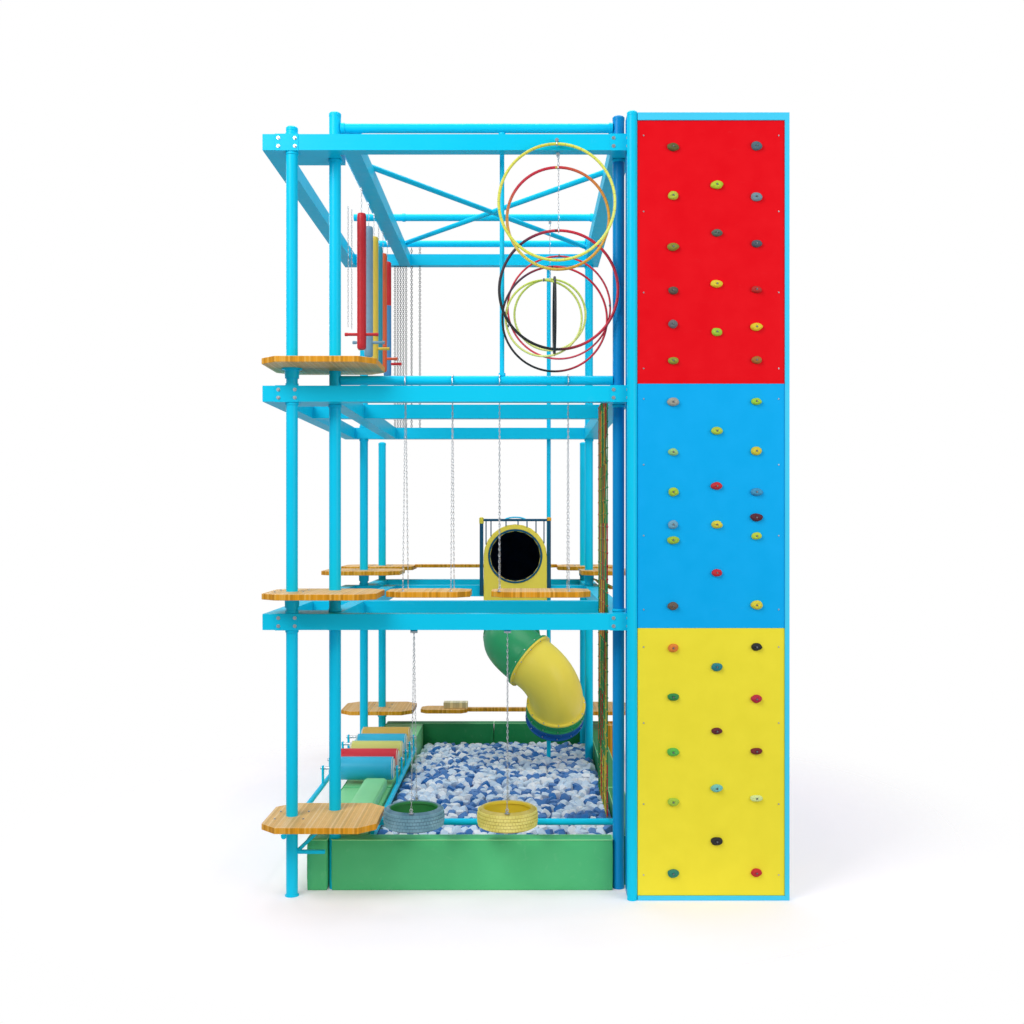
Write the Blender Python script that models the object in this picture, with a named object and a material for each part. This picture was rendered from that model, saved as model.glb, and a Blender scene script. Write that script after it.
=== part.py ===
"""Three-storey climbing frame with a climbing wall, a padded pit, a tube slide and hanging obstacles.

Metres, +Z up. Sizes are written in tower coordinates: X = 0 on the centre of the view,
Y = 0 on the axis of the outer front post, Y growing to the rear, Z = 0 on the floor.
SHIFT moves the finished tower so that its origin is the bottom centre of its bounding box.
"""

import math

import bmesh
import bpy
from mathutils import Vector

# Clearance between pieces that touch
GAP = 0.0003

# Planes of the tower, from front to rear
INNER_FRONT_Y = 0.24
MID_Y = 1.80
REAR_Y = 5.00
BACK_Y = 6.60

# Columns of the tower, from left to right
OUTER_LEFT_X = -2.33
INNER_LEFT_X = -1.94
BACK_LEFT_X = -2.27
RIGHT_X = 0.955
REAR_RIGHT_X = 0.925
BACK_RIGHT_X = 0.93

# Steel tube
POST_RADIUS = 0.058
INNER_POST_RADIUS = 0.060
RAIL_RADIUS = 0.048
ROUND_SIDES = 16

# Heights of the posts
OUTER_POST_TOP = 7.69
INNER_POST_TOP = 7.92
RIGHT_POST_TOP = 7.88
REAR_POST_TOP = 7.84
BACK_POST_TOP = 5.00

# Box beams that ring each storey
BEAM_HEIGHT = 0.16
BEAM_DEPTH = 0.14
SIDE_BEAM_WIDTH = 0.16
RIGHT_BEAM_WIDTH = 0.202
FRAME_LEFT = -2.61
FRAME_RIGHT = 1.062
TOP_INNER_X = -1.73
TOP_BEAM_Z = 7.43
UPPER_BEAM_Z = 4.93
LOWER_BEAM_Z = 2.66
CROSS_PLATE_REAR = 0.41
BRACE_RADIUS = 0.030
BRACE_ONE_Y = (0.95, 4.75)
BRACE_TWO_Y = (1.10, 4.45)

# Round rails
ROOF_RAIL_Z = 7.754
ROOF_MID_Y = 3.60
MID_RAIL_LEFT = -2.26
MID_RAIL_RADIUS = 0.0456
SIDE_RAIL_RADIUS = 0.0466
REAR_RAIL_RADIUS = 0.0470
UPPER_RAIL_Z = 5.179
POLE_X = -0.235
POLE_RADIUS = 0.024
TYRE_RAIL_Z = 0.617
TYRE_RAIL_Y = 0.45
TYRE_RAIL_RADIUS = 0.034

# Wooden boards
BOARD_THICK = 0.06
BOARD_WIDTH = 1.12
BOARD_DEPTH = 0.96
BOARD_CORNER = 0.16
NARROW_BOARD_WIDTH = 0.90
FRONT_BOARD_X = -2.005
FRONT_BOARD_Y = 0.02
GROUND_BOARD_TOP = 0.80
LOWER_BOARD_TOP = 3.04
UPPER_BOARD_TOP = 5.33
BACK_BOARD_SHIFT = 0.04
RIGHT_BOARD_X = 1.25
LOWER_BACK_BOARD_X = 0.96

# Climbing wall
WALL_POST_RADIUS = 0.051
WALL_LEFT_X = 1.06
WALL_RIGHT = 2.61
WALL_TRIM = 0.045
WALL_TOP = 7.776
WALL_POST_TOP = 7.80
WALL_FRAME_DEPTH = 0.05
PANEL_THICK = 0.030
RED_BOTTOM = 5.10
BLUE_BOTTOM = 2.686
HOLD_RADIUS = 0.052
HOLD_DEPTH = 0.045

# Padded pit
PAD_HEIGHT = 0.52
PAD_THICK = 0.19
PAD_CROWN = 0.006
PIT_FRONT = 0.15
PIT_LEFT = -2.216
PIT_INNER_LEFT = -1.62
PIT_INNER_RIGHT = 1.00
PIT_REAR = 6.70
PAD_JOINT_X = -1.985
PAD_JOINT_GAP = 0.035
FOAM_TOP = 0.45
FOAM_RELIEF = 0.030

# Tube slide
SLIDE_RADIUS = 0.375
SLIDE_WALL = 0.014
SLIDE_FLANGE = 0.040
SLIDE_FLANGE_LENGTH = 0.030
SLIDE_SIDES = 16
SLIDE_LEAD = 0.05
SLIDE_X = -0.14
SLIDE_Z = 3.24
SLIDE_TURN_Y = 5.86
SLIDE_TURN_Z = 2.10
PANEL_WIDTH = 0.91
PANEL_BOTTOM = 2.60
SLIDE_PANEL_THICK = 0.03
GUARD_TOP = 3.76
GUARD_RADIUS = 0.030
GUARD_POST_RADIUS = 0.027
GUARD_BAR_RADIUS = 0.018

# Roller bridge
ROLLER_RADIUS = 0.14
ROLLER_Z = 0.70
ROLLER_FIRST_Y = 2.60
ROLLER_SPACING = 0.50
ROLLER_LEFT = -2.30
ROLLER_RIGHT = -1.61
LONG_ROLLER_LEFT = -2.42
AXLE_RADIUS = 0.018
ROLLER_RAIL_RADIUS = 0.030
ROLLER_RAIL_Z = 0.49
ROLLER_RAIL_LEFT_X = -2.49
ROLLER_RAIL_RIGHT_X = -1.575
RAIL_LUG_HALF = 0.02
AXLE_LUG_HALF = 0.012
LUG_DEPTH = 0.056
AXLE_END = 0.03

# Hanging pieces
ROPE_RADIUS = 0.008
EYE_RADIUS = 0.020
EYE_REACH = 0.035
EYE_HALF = 0.025
HOOP_EYE_LENGTH = 0.07
TYRE_OUTER = 0.31
TYRE_INNER = 0.228
TYRE_HEIGHT = 0.20
TYRE_BOTTOM = 0.69
TYRE_BOARD_ROOM = 0.025
SECOND_TYRE_X = -0.175
PLANK_DEPTH = 0.60
PLANK_ROPE_Y = 0.252
HOOP_TUBE = 0.014
POLE_PAD_RADIUS = 0.054
POLE_PAD_LENGTH = 1.62
POLE_PAD_TOP = 7.40
PEG_RADIUS = 0.018
PEG_REACH = 0.20
PEG_HEIGHT = 0.18

# Rope net
NET_STRAND = 0.020
NET_FRONT = 0.36
NET_CELL_Y = 0.264
NET_CELLS_Y = 5
NET_BOTTOM = 0.68
NET_CELL_Z = 0.335
NET_CELLS_Z = 13

# The tower's box, from its widest boards to the wall, and the shift that centres it
BOX_LEFT = OUTER_LEFT_X - BOARD_WIDTH / 2
BOX_FRONT = FRONT_BOARD_Y - BOARD_DEPTH / 2
BOX_REAR = BACK_Y + BOARD_DEPTH / 2
SHIFT = Vector((-(BOX_LEFT + WALL_RIGHT) / 2, -(BOX_FRONT + BOX_REAR) / 2, 0.0))

# Colours, linear
COLOURS = {
    "frame_blue": ((0.005, 0.55, 0.80), 0.35, 0.2),
    "deep_blue": ((0.005, 0.12, 0.40), 0.35, 0.2),
    "wood": ((0.70, 0.36, 0.12), 0.6, 0.0),
    "wall_red": ((0.75, 0.005, 0.01), 0.4, 0.0),
    "wall_blue": ((0.005, 0.42, 0.82), 0.4, 0.0),
    "wall_yellow": ((0.85, 0.72, 0.05), 0.4, 0.0),
    "pit_green": ((0.08, 0.45, 0.20), 0.55, 0.0),
    "foam": ((0.65, 0.72, 0.90), 0.9, 0.0),
    "slide_green": ((0.03, 0.35, 0.12), 0.3, 0.0),
    "slide_yellow": ((0.82, 0.70, 0.10), 0.3, 0.0),
    "slide_blue": ((0.01, 0.10, 0.32), 0.3, 0.0),
    "guard_teal": ((0.02, 0.12, 0.20), 0.4, 0.0),
    "roller_blue": ((0.05, 0.50, 0.65), 0.5, 0.0),
    "roller_red": ((0.70, 0.01, 0.03), 0.5, 0.0),
    "roller_lime": ((0.60, 0.62, 0.15), 0.5, 0.0),
    "roller_tan": ((0.72, 0.50, 0.18), 0.5, 0.0),
    "tyre_teal": ((0.04, 0.14, 0.20), 0.8, 0.0),
    "tyre_yellow": ((0.80, 0.66, 0.06), 0.7, 0.0),
    "hoop_yellow": ((0.80, 0.75, 0.10), 0.4, 0.0),
    "hoop_red": ((0.65, 0.02, 0.06), 0.4, 0.0),
    "hoop_lime": ((0.60, 0.75, 0.15), 0.4, 0.0),
    "pad_grey": ((0.35, 0.48, 0.55), 0.5, 0.0),
    "pad_orange": ((0.80, 0.10, 0.03), 0.5, 0.0),
    "net_green": ((0.05, 0.40, 0.15), 0.9, 0.0),
}


def clear_scene():
    for obj in list(bpy.data.objects):
        bpy.data.objects.remove(obj, do_unlink=True)


def material(name):
    found = bpy.data.materials.get(name)
    if found:
        return found
    colour, roughness, metallic = COLOURS[name]
    made = bpy.data.materials.new(name)
    made.use_nodes = True
    shader = made.node_tree.nodes["Principled BSDF"]
    shader.inputs["Base Color"].default_value = (*colour, 1.0)
    shader.inputs["Roughness"].default_value = roughness
    shader.inputs["Metallic"].default_value = metallic
    return made


def place(name, bm, finish, pivot=(0.0, 0.0, 0.0), smooth=True):
    """One named piece. Its mesh is in tower coordinates; its origin goes to the pivot."""
    bmesh.ops.remove_doubles(bm, verts=bm.verts, dist=1e-6)
    bmesh.ops.recalc_face_normals(bm, faces=bm.faces)
    bmesh.ops.translate(bm, verts=bm.verts, vec=-Vector(pivot))
    mesh = bpy.data.meshes.new(name)
    bm.to_mesh(mesh)
    bm.free()
    obj = bpy.data.objects.new(name, mesh)
    obj.location = Vector(pivot) + SHIFT
    bpy.context.scene.collection.objects.link(obj)
    if finish:
        mesh.materials.append(material(finish))
    if smooth:
        mesh.shade_smooth()
        mesh.set_sharp_from_angle(angle=math.radians(35))
    return obj


def combine(target, helpers, operation="UNION"):
    """Joins the helpers to the target, or cuts them out of it."""
    for helper in helpers:
        helper.hide_render = True
        helper.display_type = "WIRE"
        step = target.modifiers.new(operation.title(), "BOOLEAN")
        step.operation = operation
        step.solver = "EXACT"
        step.object = helper
    return target


def block(low, high):
    bm = bmesh.new()
    corners = [
        bm.verts.new((x, y, z))
        for x in (low[0], high[0])
        for y in (low[1], high[1])
        for z in (low[2], high[2])
    ]
    for face in ((0, 1, 3, 2), (4, 6, 7, 5), (0, 4, 5, 1), (2, 3, 7, 6), (0, 2, 6, 4), (1, 5, 7, 3)):
        bm.faces.new([corners[i] for i in face])
    return bm


def sweep(path, radii, bore=0.0, sides=ROUND_SIDES):
    """A round tube or rod along a path. radii is one outer radius, or one for each point."""
    points = [Vector(p) for p in path]
    if not isinstance(radii, (list, tuple)):
        radii = [radii] * len(points)
    tangents = []
    for i, point in enumerate(points):
        before = next((p for p in reversed(points[:i]) if (p - point).length > 1e-6), point)
        after = next((p for p in points[i + 1 :] if (p - point).length > 1e-6), point)
        tangents.append((after - before).normalized())
    normal = tangents[0].orthogonal().normalized()
    bm = bmesh.new()
    skins = ([], [])
    for i, point in enumerate(points):
        if i:
            normal = tangents[i - 1].rotation_difference(tangents[i]) @ normal
            normal = (normal - normal.dot(tangents[i]) * tangents[i]).normalized()
        side = tangents[i].cross(normal)
        for skin, radius in zip(skins, (radii[i], bore)):
            if radius <= 0:
                continue
            skin.append(
                [
                    bm.verts.new(point + radius * (math.cos(a) * normal + math.sin(a) * side))
                    for a in (2 * math.pi * k / sides for k in range(sides))
                ]
            )
    outer, inner = skins
    for skin in skins:
        for ring, following in zip(skin, skin[1:]):
            for k in range(sides):
                n = (k + 1) % sides
                bm.faces.new((ring[k], ring[n], following[n], following[k]))
    for end in (0, -1):
        if inner:
            for k in range(sides):
                n = (k + 1) % sides
                bm.faces.new((outer[end][k], outer[end][n], inner[end][n], inner[end][k]))
        else:
            bm.faces.new(outer[end])
    return bm


def rod(start, end, radius, sides=ROUND_SIDES):
    return sweep([start, end], radius, sides=sides)


def lattice(rects, holes, low, high, axes=(0, 1, 2)):
    """A slab from low to high with the plan of the rectangles, less the holes.

    A rectangle is (a0, a1, b0, b1) along the first two axes; the slab is thick along the third.
    """
    cuts_a = sorted({round(v, 6) for r in rects + holes for v in r[:2]})
    cuts_b = sorted({round(v, 6) for r in rects + holes for v in r[2:]})

    def inside(boxes, a, b):
        return any(r[0] < a < r[1] and r[2] < b < r[3] for r in boxes)

    filled = {
        (i, j)
        for i in range(len(cuts_a) - 1)
        for j in range(len(cuts_b) - 1)
        for a in [(cuts_a[i] + cuts_a[i + 1]) / 2]
        for b in [(cuts_b[j] + cuts_b[j + 1]) / 2]
        if inside(rects, a, b) and not inside(holes, a, b)
    }
    bm = bmesh.new()
    made = {}

    def corner(i, j, level):
        key = (i, j, level)
        if key not in made:
            place_at = [0.0, 0.0, 0.0]
            place_at[axes[0]] = cuts_a[i]
            place_at[axes[1]] = cuts_b[j]
            place_at[axes[2]] = high if level else low
            made[key] = bm.verts.new(place_at)
        return made[key]

    for i, j in sorted(filled):
        for level in (0, 1):
            bm.faces.new([corner(i + a, j + b, level) for a, b in ((0, 0), (1, 0), (1, 1), (0, 1))])
        for di, dj, first, second in (
            (-1, 0, (0, 0), (0, 1)),
            (1, 0, (1, 0), (1, 1)),
            (0, -1, (0, 0), (1, 0)),
            (0, 1, (0, 1), (1, 1)),
        ):
            if (i + di, j + dj) in filled:
                continue
            a, b = (i + first[0], j + first[1]), (i + second[0], j + second[1])
            bm.faces.new((corner(*a, 0), corner(*b, 0), corner(*b, 1), corner(*a, 1)))
    return bm


def post_hole(x, y, radius):
    reach = radius + GAP
    return (x - reach, x + reach, y - reach, y + reach)


def bent(points, radius, steps=6):
    """The corner points joined by straight runs, with each inner corner rounded to the radius."""
    corners = [Vector(p) for p in points]
    path = [corners[0]]
    for before, corner, after in zip(corners, corners[1:], corners[2:]):
        into = (corner - before).normalized()
        out = (after - corner).normalized()
        turn = into.angle(out)
        reach = radius * math.tan(turn / 2)
        start = corner - into * reach
        centre = start + (out - into * into.dot(out)).normalized() * radius
        spoke = start - centre
        for k in range(steps + 1):
            angle = turn * k / steps
            path.append(centre + spoke * math.cos(angle) + into * radius * math.sin(angle))
    path.append(corners[-1])
    return path


# Posts


def add_posts():
    posts = (
        ("front_left_outer_post", OUTER_LEFT_X, 0.0, POST_RADIUS, OUTER_POST_TOP, "frame_blue"),
        (
            "front_left_inner_post",
            INNER_LEFT_X,
            INNER_FRONT_Y,
            INNER_POST_RADIUS,
            INNER_POST_TOP,
            "frame_blue",
        ),
        ("front_right_post", RIGHT_X, INNER_FRONT_Y, INNER_POST_RADIUS, RIGHT_POST_TOP, "deep_blue"),
        ("rear_left_post", OUTER_LEFT_X, REAR_Y, POST_RADIUS, REAR_POST_TOP, "frame_blue"),
        ("rear_right_post", REAR_RIGHT_X, REAR_Y, POST_RADIUS, REAR_POST_TOP, "frame_blue"),
        ("back_left_post", BACK_LEFT_X, BACK_Y, POST_RADIUS, BACK_POST_TOP, "frame_blue"),
        ("back_right_post", BACK_RIGHT_X, BACK_Y, POST_RADIUS, BACK_POST_TOP, "frame_blue"),
    )
    for name, x, y, radius, top, finish in posts:
        place(name, rod((x, y, 0.0), (x, y, top), radius), finish)


# Beam rings


def ring_plan(inner_x, middle):
    """The beams of one storey, seen from above."""
    half = BEAM_DEPTH / 2
    inner = (inner_x - SIDE_BEAM_WIDTH / 2, inner_x + SIDE_BEAM_WIDTH / 2)
    rects = [
        (FRAME_LEFT, FRAME_RIGHT, -half, half),
        (FRAME_LEFT, FRAME_RIGHT, REAR_Y - half, REAR_Y + half),
        (FRAME_LEFT, FRAME_LEFT + SIDE_BEAM_WIDTH, -half, REAR_Y + half),
        (*inner, -half, REAR_Y + half),
        (FRAME_RIGHT - RIGHT_BEAM_WIDTH, FRAME_RIGHT, -half, REAR_Y + half),
        (FRAME_LEFT, INNER_LEFT_X + SIDE_BEAM_WIDTH / 2, half, CROSS_PLATE_REAR),
    ]
    if middle:
        rects.append((FRAME_LEFT, FRAME_RIGHT, MID_Y - half, MID_Y + half))
    holes = [
        post_hole(OUTER_LEFT_X, 0.0, POST_RADIUS),
        post_hole(INNER_LEFT_X, INNER_FRONT_Y, INNER_POST_RADIUS),
        post_hole(RIGHT_X, INNER_FRONT_Y, INNER_POST_RADIUS),
        post_hole(OUTER_LEFT_X, REAR_Y, POST_RADIUS),
        post_hole(REAR_RIGHT_X, REAR_Y, POST_RADIUS),
    ]
    return rects, holes


def add_beam_frames():
    rects, holes = ring_plan(TOP_INNER_X, middle=False)
    top = place(
        "top_beam_frame",
        lattice(rects, holes, TOP_BEAM_Z, TOP_BEAM_Z + BEAM_HEIGHT),
        "frame_blue",
        smooth=False,
    )
    brace_z = TOP_BEAM_Z + BEAM_HEIGHT + BRACE_RADIUS * 0.6
    left = TOP_INNER_X
    right = FRAME_RIGHT - RIGHT_BEAM_WIDTH / 2
    braces = [
        place(name, rod((start, ys[0], brace_z), (end, ys[1], brace_z), BRACE_RADIUS, 12), None)
        for name, start, end, ys in (
            ("brace_one", left, right, BRACE_ONE_Y),
            ("brace_two", right, left, BRACE_TWO_Y),
        )
    ]
    combine(top, braces)

    rects, holes = ring_plan(INNER_LEFT_X, middle=True)
    place(
        "upper_beam_frame",
        lattice(rects, holes, UPPER_BEAM_Z, UPPER_BEAM_Z + BEAM_HEIGHT),
        "frame_blue",
        smooth=False,
    )

    half = BEAM_DEPTH / 2
    back_left = BACK_LEFT_X - SIDE_BEAM_WIDTH / 2
    back_right = FRAME_RIGHT
    rects += [
        (back_left, back_left + SIDE_BEAM_WIDTH, REAR_Y, BACK_Y + half),
        (FRAME_RIGHT - RIGHT_BEAM_WIDTH, FRAME_RIGHT, REAR_Y, BACK_Y + half),
        (back_left, back_right, BACK_Y - half, BACK_Y + half),
    ]
    holes += [
        post_hole(BACK_LEFT_X, BACK_Y, POST_RADIUS),
        post_hole(BACK_RIGHT_X, BACK_Y, POST_RADIUS),
    ]
    place(
        "lower_beam_frame",
        lattice(rects, holes, LOWER_BEAM_Z, LOWER_BEAM_Z + BEAM_HEIGHT),
        "frame_blue",
        smooth=False,
    )


# Round rails


def add_rails():
    z = ROOF_RAIL_Z
    start_x = INNER_LEFT_X + INNER_POST_RADIUS + GAP
    end_x = RIGHT_X - INNER_POST_RADIUS - GAP
    roof = place(
        "roof_rails",
        rod((start_x, INNER_FRONT_Y, z), (end_x, INNER_FRONT_Y, z), RAIL_RADIUS),
        "frame_blue",
    )
    into_rail = [
        (INNER_LEFT_X + 0.28, INNER_FRONT_Y, z),
        (INNER_LEFT_X + 0.16, INNER_FRONT_Y + 0.10, z),
        (INNER_LEFT_X, INNER_FRONT_Y + 0.30, z),
        (INNER_LEFT_X, REAR_Y, z),
    ]
    joined = [
        place("left_roof_rail", sweep(bent(into_rail, 0.12, 3), SIDE_RAIL_RADIUS), None),
        place(
            "mid_roof_rail",
            rod((MID_RAIL_LEFT, ROOF_MID_Y, z), (RIGHT_X, ROOF_MID_Y, z), MID_RAIL_RADIUS),
            None,
        ),
        place(
            "rear_roof_rail",
            rod(
                (OUTER_LEFT_X + POST_RADIUS + GAP, REAR_Y, z),
                (REAR_RIGHT_X - POST_RADIUS - GAP, REAR_Y, z),
                REAR_RAIL_RADIUS,
            ),
            None,
        ),
    ]
    combine(roof, joined)

    upper = place(
        "upper_front_rail",
        rod((start_x, INNER_FRONT_Y, UPPER_RAIL_Z), (end_x, INNER_FRONT_Y, UPPER_RAIL_Z), RAIL_RADIUS),
        "frame_blue",
    )
    pole_top = ROOF_RAIL_Z - RAIL_RADIUS - GAP
    pole = place(
        "front_pole",
        rod((POLE_X, INNER_FRONT_Y, UPPER_RAIL_Z), (POLE_X, INNER_FRONT_Y, pole_top), POLE_RADIUS, 12),
        None,
    )
    combine(upper, [pole])

    reach = INNER_POST_RADIUS + GAP
    route = bent(
        [
            (INNER_LEFT_X, INNER_FRONT_Y + reach, TYRE_RAIL_Z),
            (INNER_LEFT_X, TYRE_RAIL_Y, TYRE_RAIL_Z),
            (RIGHT_X, TYRE_RAIL_Y, TYRE_RAIL_Z),
            (RIGHT_X, INNER_FRONT_Y + reach, TYRE_RAIL_Z),
        ],
        0.08,
        5,
    )
    place("tyre_rail", sweep(route, TYRE_RAIL_RADIUS, sides=12), "frame_blue")


# Wooden boards


def board_outline(x, y, width, depth, corner):
    half_w, half_d = width / 2, depth / 2
    return [
        (x - half_w + corner, y - half_d),
        (x + half_w - corner, y - half_d),
        (x + half_w, y - half_d + corner),
        (x + half_w, y + half_d - corner),
        (x + half_w - corner, y + half_d),
        (x - half_w + corner, y + half_d),
        (x - half_w, y + half_d - corner),
        (x - half_w, y - half_d + corner),
    ]


def slab(outline, low, high):
    bm = bmesh.new()
    face = bm.faces.new([bm.verts.new((x, y, low)) for x, y in outline])
    grown = bmesh.ops.extrude_face_region(bm, geom=[face])["geom"]
    bmesh.ops.translate(
        bm, verts=[g for g in grown if isinstance(g, bmesh.types.BMVert)], vec=(0, 0, high - low)
    )
    return bm


def add_board(name, x, y, top, width, posts):
    low = top - BOARD_THICK
    outline = board_outline(x, y, width, BOARD_DEPTH, BOARD_CORNER)
    board = place(name, slab(outline, low, top), "wood", smooth=False)
    cutters = [
        place(f"{name}_hole_{i}", rod((px, py, low - 0.05), (px, py, top + 0.05), radius + GAP), None)
        for i, (px, py, radius) in enumerate(posts)
    ]
    combine(board, cutters, "DIFFERENCE")


def add_boards():
    front = [(OUTER_LEFT_X, 0.0, POST_RADIUS), (INNER_LEFT_X, INNER_FRONT_Y, INNER_POST_RADIUS)]
    low, middle, high = GROUND_BOARD_TOP, LOWER_BOARD_TOP, UPPER_BOARD_TOP
    for level, top in (("ground", low), ("lower", middle), ("upper", high)):
        add_board(f"{level}_front_board", FRONT_BOARD_X, FRONT_BOARD_Y, top, BOARD_WIDTH, front)
    rear_left = [(OUTER_LEFT_X, REAR_Y, POST_RADIUS)]
    back_left = [(BACK_LEFT_X, BACK_Y, POST_RADIUS)]
    rear_right = [(REAR_RIGHT_X, REAR_Y, POST_RADIUS)]
    back_right = [(BACK_RIGHT_X, BACK_Y, POST_RADIUS)]
    back_x = BACK_LEFT_X - BACK_BOARD_SHIFT
    wide, narrow = BOARD_WIDTH, NARROW_BOARD_WIDTH
    add_board("lower_rear_left_board", OUTER_LEFT_X, REAR_Y, middle, wide, rear_left)
    add_board("lower_back_left_board", back_x, BACK_Y, middle, wide, back_left)
    add_board("ground_back_left_board", back_x, BACK_Y, low, wide, back_left)
    add_board("lower_rear_right_board", RIGHT_BOARD_X, REAR_Y, middle, narrow, rear_right)
    add_board("lower_back_right_board", LOWER_BACK_BOARD_X, BACK_Y, middle, narrow, back_right)
    add_board("ground_back_right_board", RIGHT_BOARD_X, BACK_Y, low, narrow, back_right)


# Climbing wall

WALL_Y = -(BEAM_DEPTH / 2 + GAP + WALL_POST_RADIUS)
PANEL_BACK_Y = WALL_Y + 0.010
PANEL_LEFT = WALL_LEFT_X + WALL_POST_RADIUS + GAP
PANEL_RIGHT = WALL_RIGHT - WALL_TRIM - GAP
PANEL_TOP = WALL_TOP - WALL_TRIM - 0.031
HOLD_COLUMNS = (1.462, 1.893, 2.284)

# Heights of the holds in the left, middle and right columns of each panel
HOLD_ROWS = {
    "red": (
        (7.436, 6.954, 6.449, 6.018, 5.687, 5.326),
        (7.061, 6.587, 6.084, 5.610),
        (7.444, 6.941, 6.479, 6.028, 5.660, 5.332),
    ),
    "blue": (
        (4.919, 4.425, 4.030, 3.556, 2.905),
        (4.634, 4.090, 3.709, 3.234),
        (4.924, 4.435, 4.030, 3.597, 2.915),
    ),
    "yellow": (
        (2.492, 2.008, 1.464, 0.974, 0.268),
        (2.304, 1.671, 1.108, 0.585),
        (2.502, 1.988, 1.474, 1.009, 0.274),
    ),
}


def hold(x, z):
    """One low rounded hold on the front of the wall, its root sunk into the panel."""
    front = PANEL_BACK_Y - PANEL_THICK
    path = [(x, front + 0.008, z), (x, front - HOLD_DEPTH, z)]
    return sweep(path, [HOLD_RADIUS, HOLD_RADIUS * 0.6], sides=7)


def add_wall():
    place(
        "wall_left_post",
        rod((WALL_LEFT_X, WALL_Y, 0.0), (WALL_LEFT_X, WALL_Y, WALL_POST_TOP), WALL_POST_RADIUS),
        "frame_blue",
    )
    back_low = PANEL_BACK_Y + GAP
    stile = 0.05
    rails = [0.0, BLUE_BOTTOM - stile / 2, RED_BOTTOM - stile / 2, WALL_TOP - stile]
    rects = [
        (PANEL_LEFT, PANEL_LEFT + stile, 0.0, WALL_TOP),
        (WALL_RIGHT - stile, WALL_RIGHT, 0.0, WALL_TOP),
    ]
    rects += [(PANEL_LEFT, WALL_RIGHT, z, z + stile) for z in rails]
    frame = place(
        "wall_frame",
        lattice(rects, [], back_low, back_low + WALL_FRAME_DEPTH, axes=(0, 2, 1)),
        "frame_blue",
        smooth=False,
    )
    trim_front = PANEL_BACK_Y - PANEL_THICK - 0.012
    trim = [
        (WALL_RIGHT - WALL_TRIM, WALL_RIGHT, 0.0, WALL_TOP),
        (PANEL_LEFT, WALL_RIGHT, PANEL_TOP + GAP, WALL_TOP),
        (PANEL_LEFT, WALL_RIGHT, 0.0, WALL_TRIM),
    ]
    lip = place("wall_trim", lattice(trim, [], trim_front, back_low + 0.01, axes=(0, 2, 1)), None)
    combine(frame, [lip])
    edges = (
        ("red", RED_BOTTOM + GAP, PANEL_TOP),
        ("blue", BLUE_BOTTOM + GAP, RED_BOTTOM),
        ("yellow", WALL_TRIM + GAP, BLUE_BOTTOM),
    )
    for colour, low, high in edges:
        panel = place(
            f"wall_panel_{colour}",
            block((PANEL_LEFT, PANEL_BACK_Y - PANEL_THICK, low), (PANEL_RIGHT, PANEL_BACK_Y, high)),
            f"wall_{colour}",
            smooth=False,
        )
        holds = [
            place(f"hold_{colour}_{column}_{row}", hold(x, z), None)
            for column, (x, heights) in enumerate(zip(HOLD_COLUMNS, HOLD_ROWS[colour]))
            for row, z in enumerate(heights)
        ]
        combine(panel, holds)


# Padded pit


def padded_block(low, high, counts, crown=PAD_CROWN):
    """A block whose faces swell between their edges. Its underside stays flat."""
    bm = bmesh.new()
    middle = [(a + b) / 2 for a, b in zip(low, high)]
    half = [(b - a) / 2 for a, b in zip(low, high)]
    made = {}

    def corner(index):
        if index not in made:
            unit = [2 * i / n - 1 for i, n in zip(index, counts)]
            spot = []
            for k in range(3):
                others = [unit[j] ** 4 for j in range(3) if j != k]
                drawn = crown * max(others) * abs(unit[k])
                if k == 2 and unit[2] < 0:
                    drawn = 0.0
                spot.append(middle[k] + (half[k] - drawn) * unit[k])
            made[index] = bm.verts.new(spot)
        return made[index]

    for k in range(3):
        a, b = [j for j in range(3) if j != k]
        for level in (0, counts[k]):
            for i in range(counts[a]):
                for j in range(counts[b]):
                    ring = []
                    for di, dj in ((0, 0), (1, 0), (1, 1), (0, 1)):
                        index = [0, 0, 0]
                        index[k], index[a], index[b] = level, i + di, j + dj
                        ring.append(corner(tuple(index)))
                    bm.faces.new(ring)
    return bm


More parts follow.
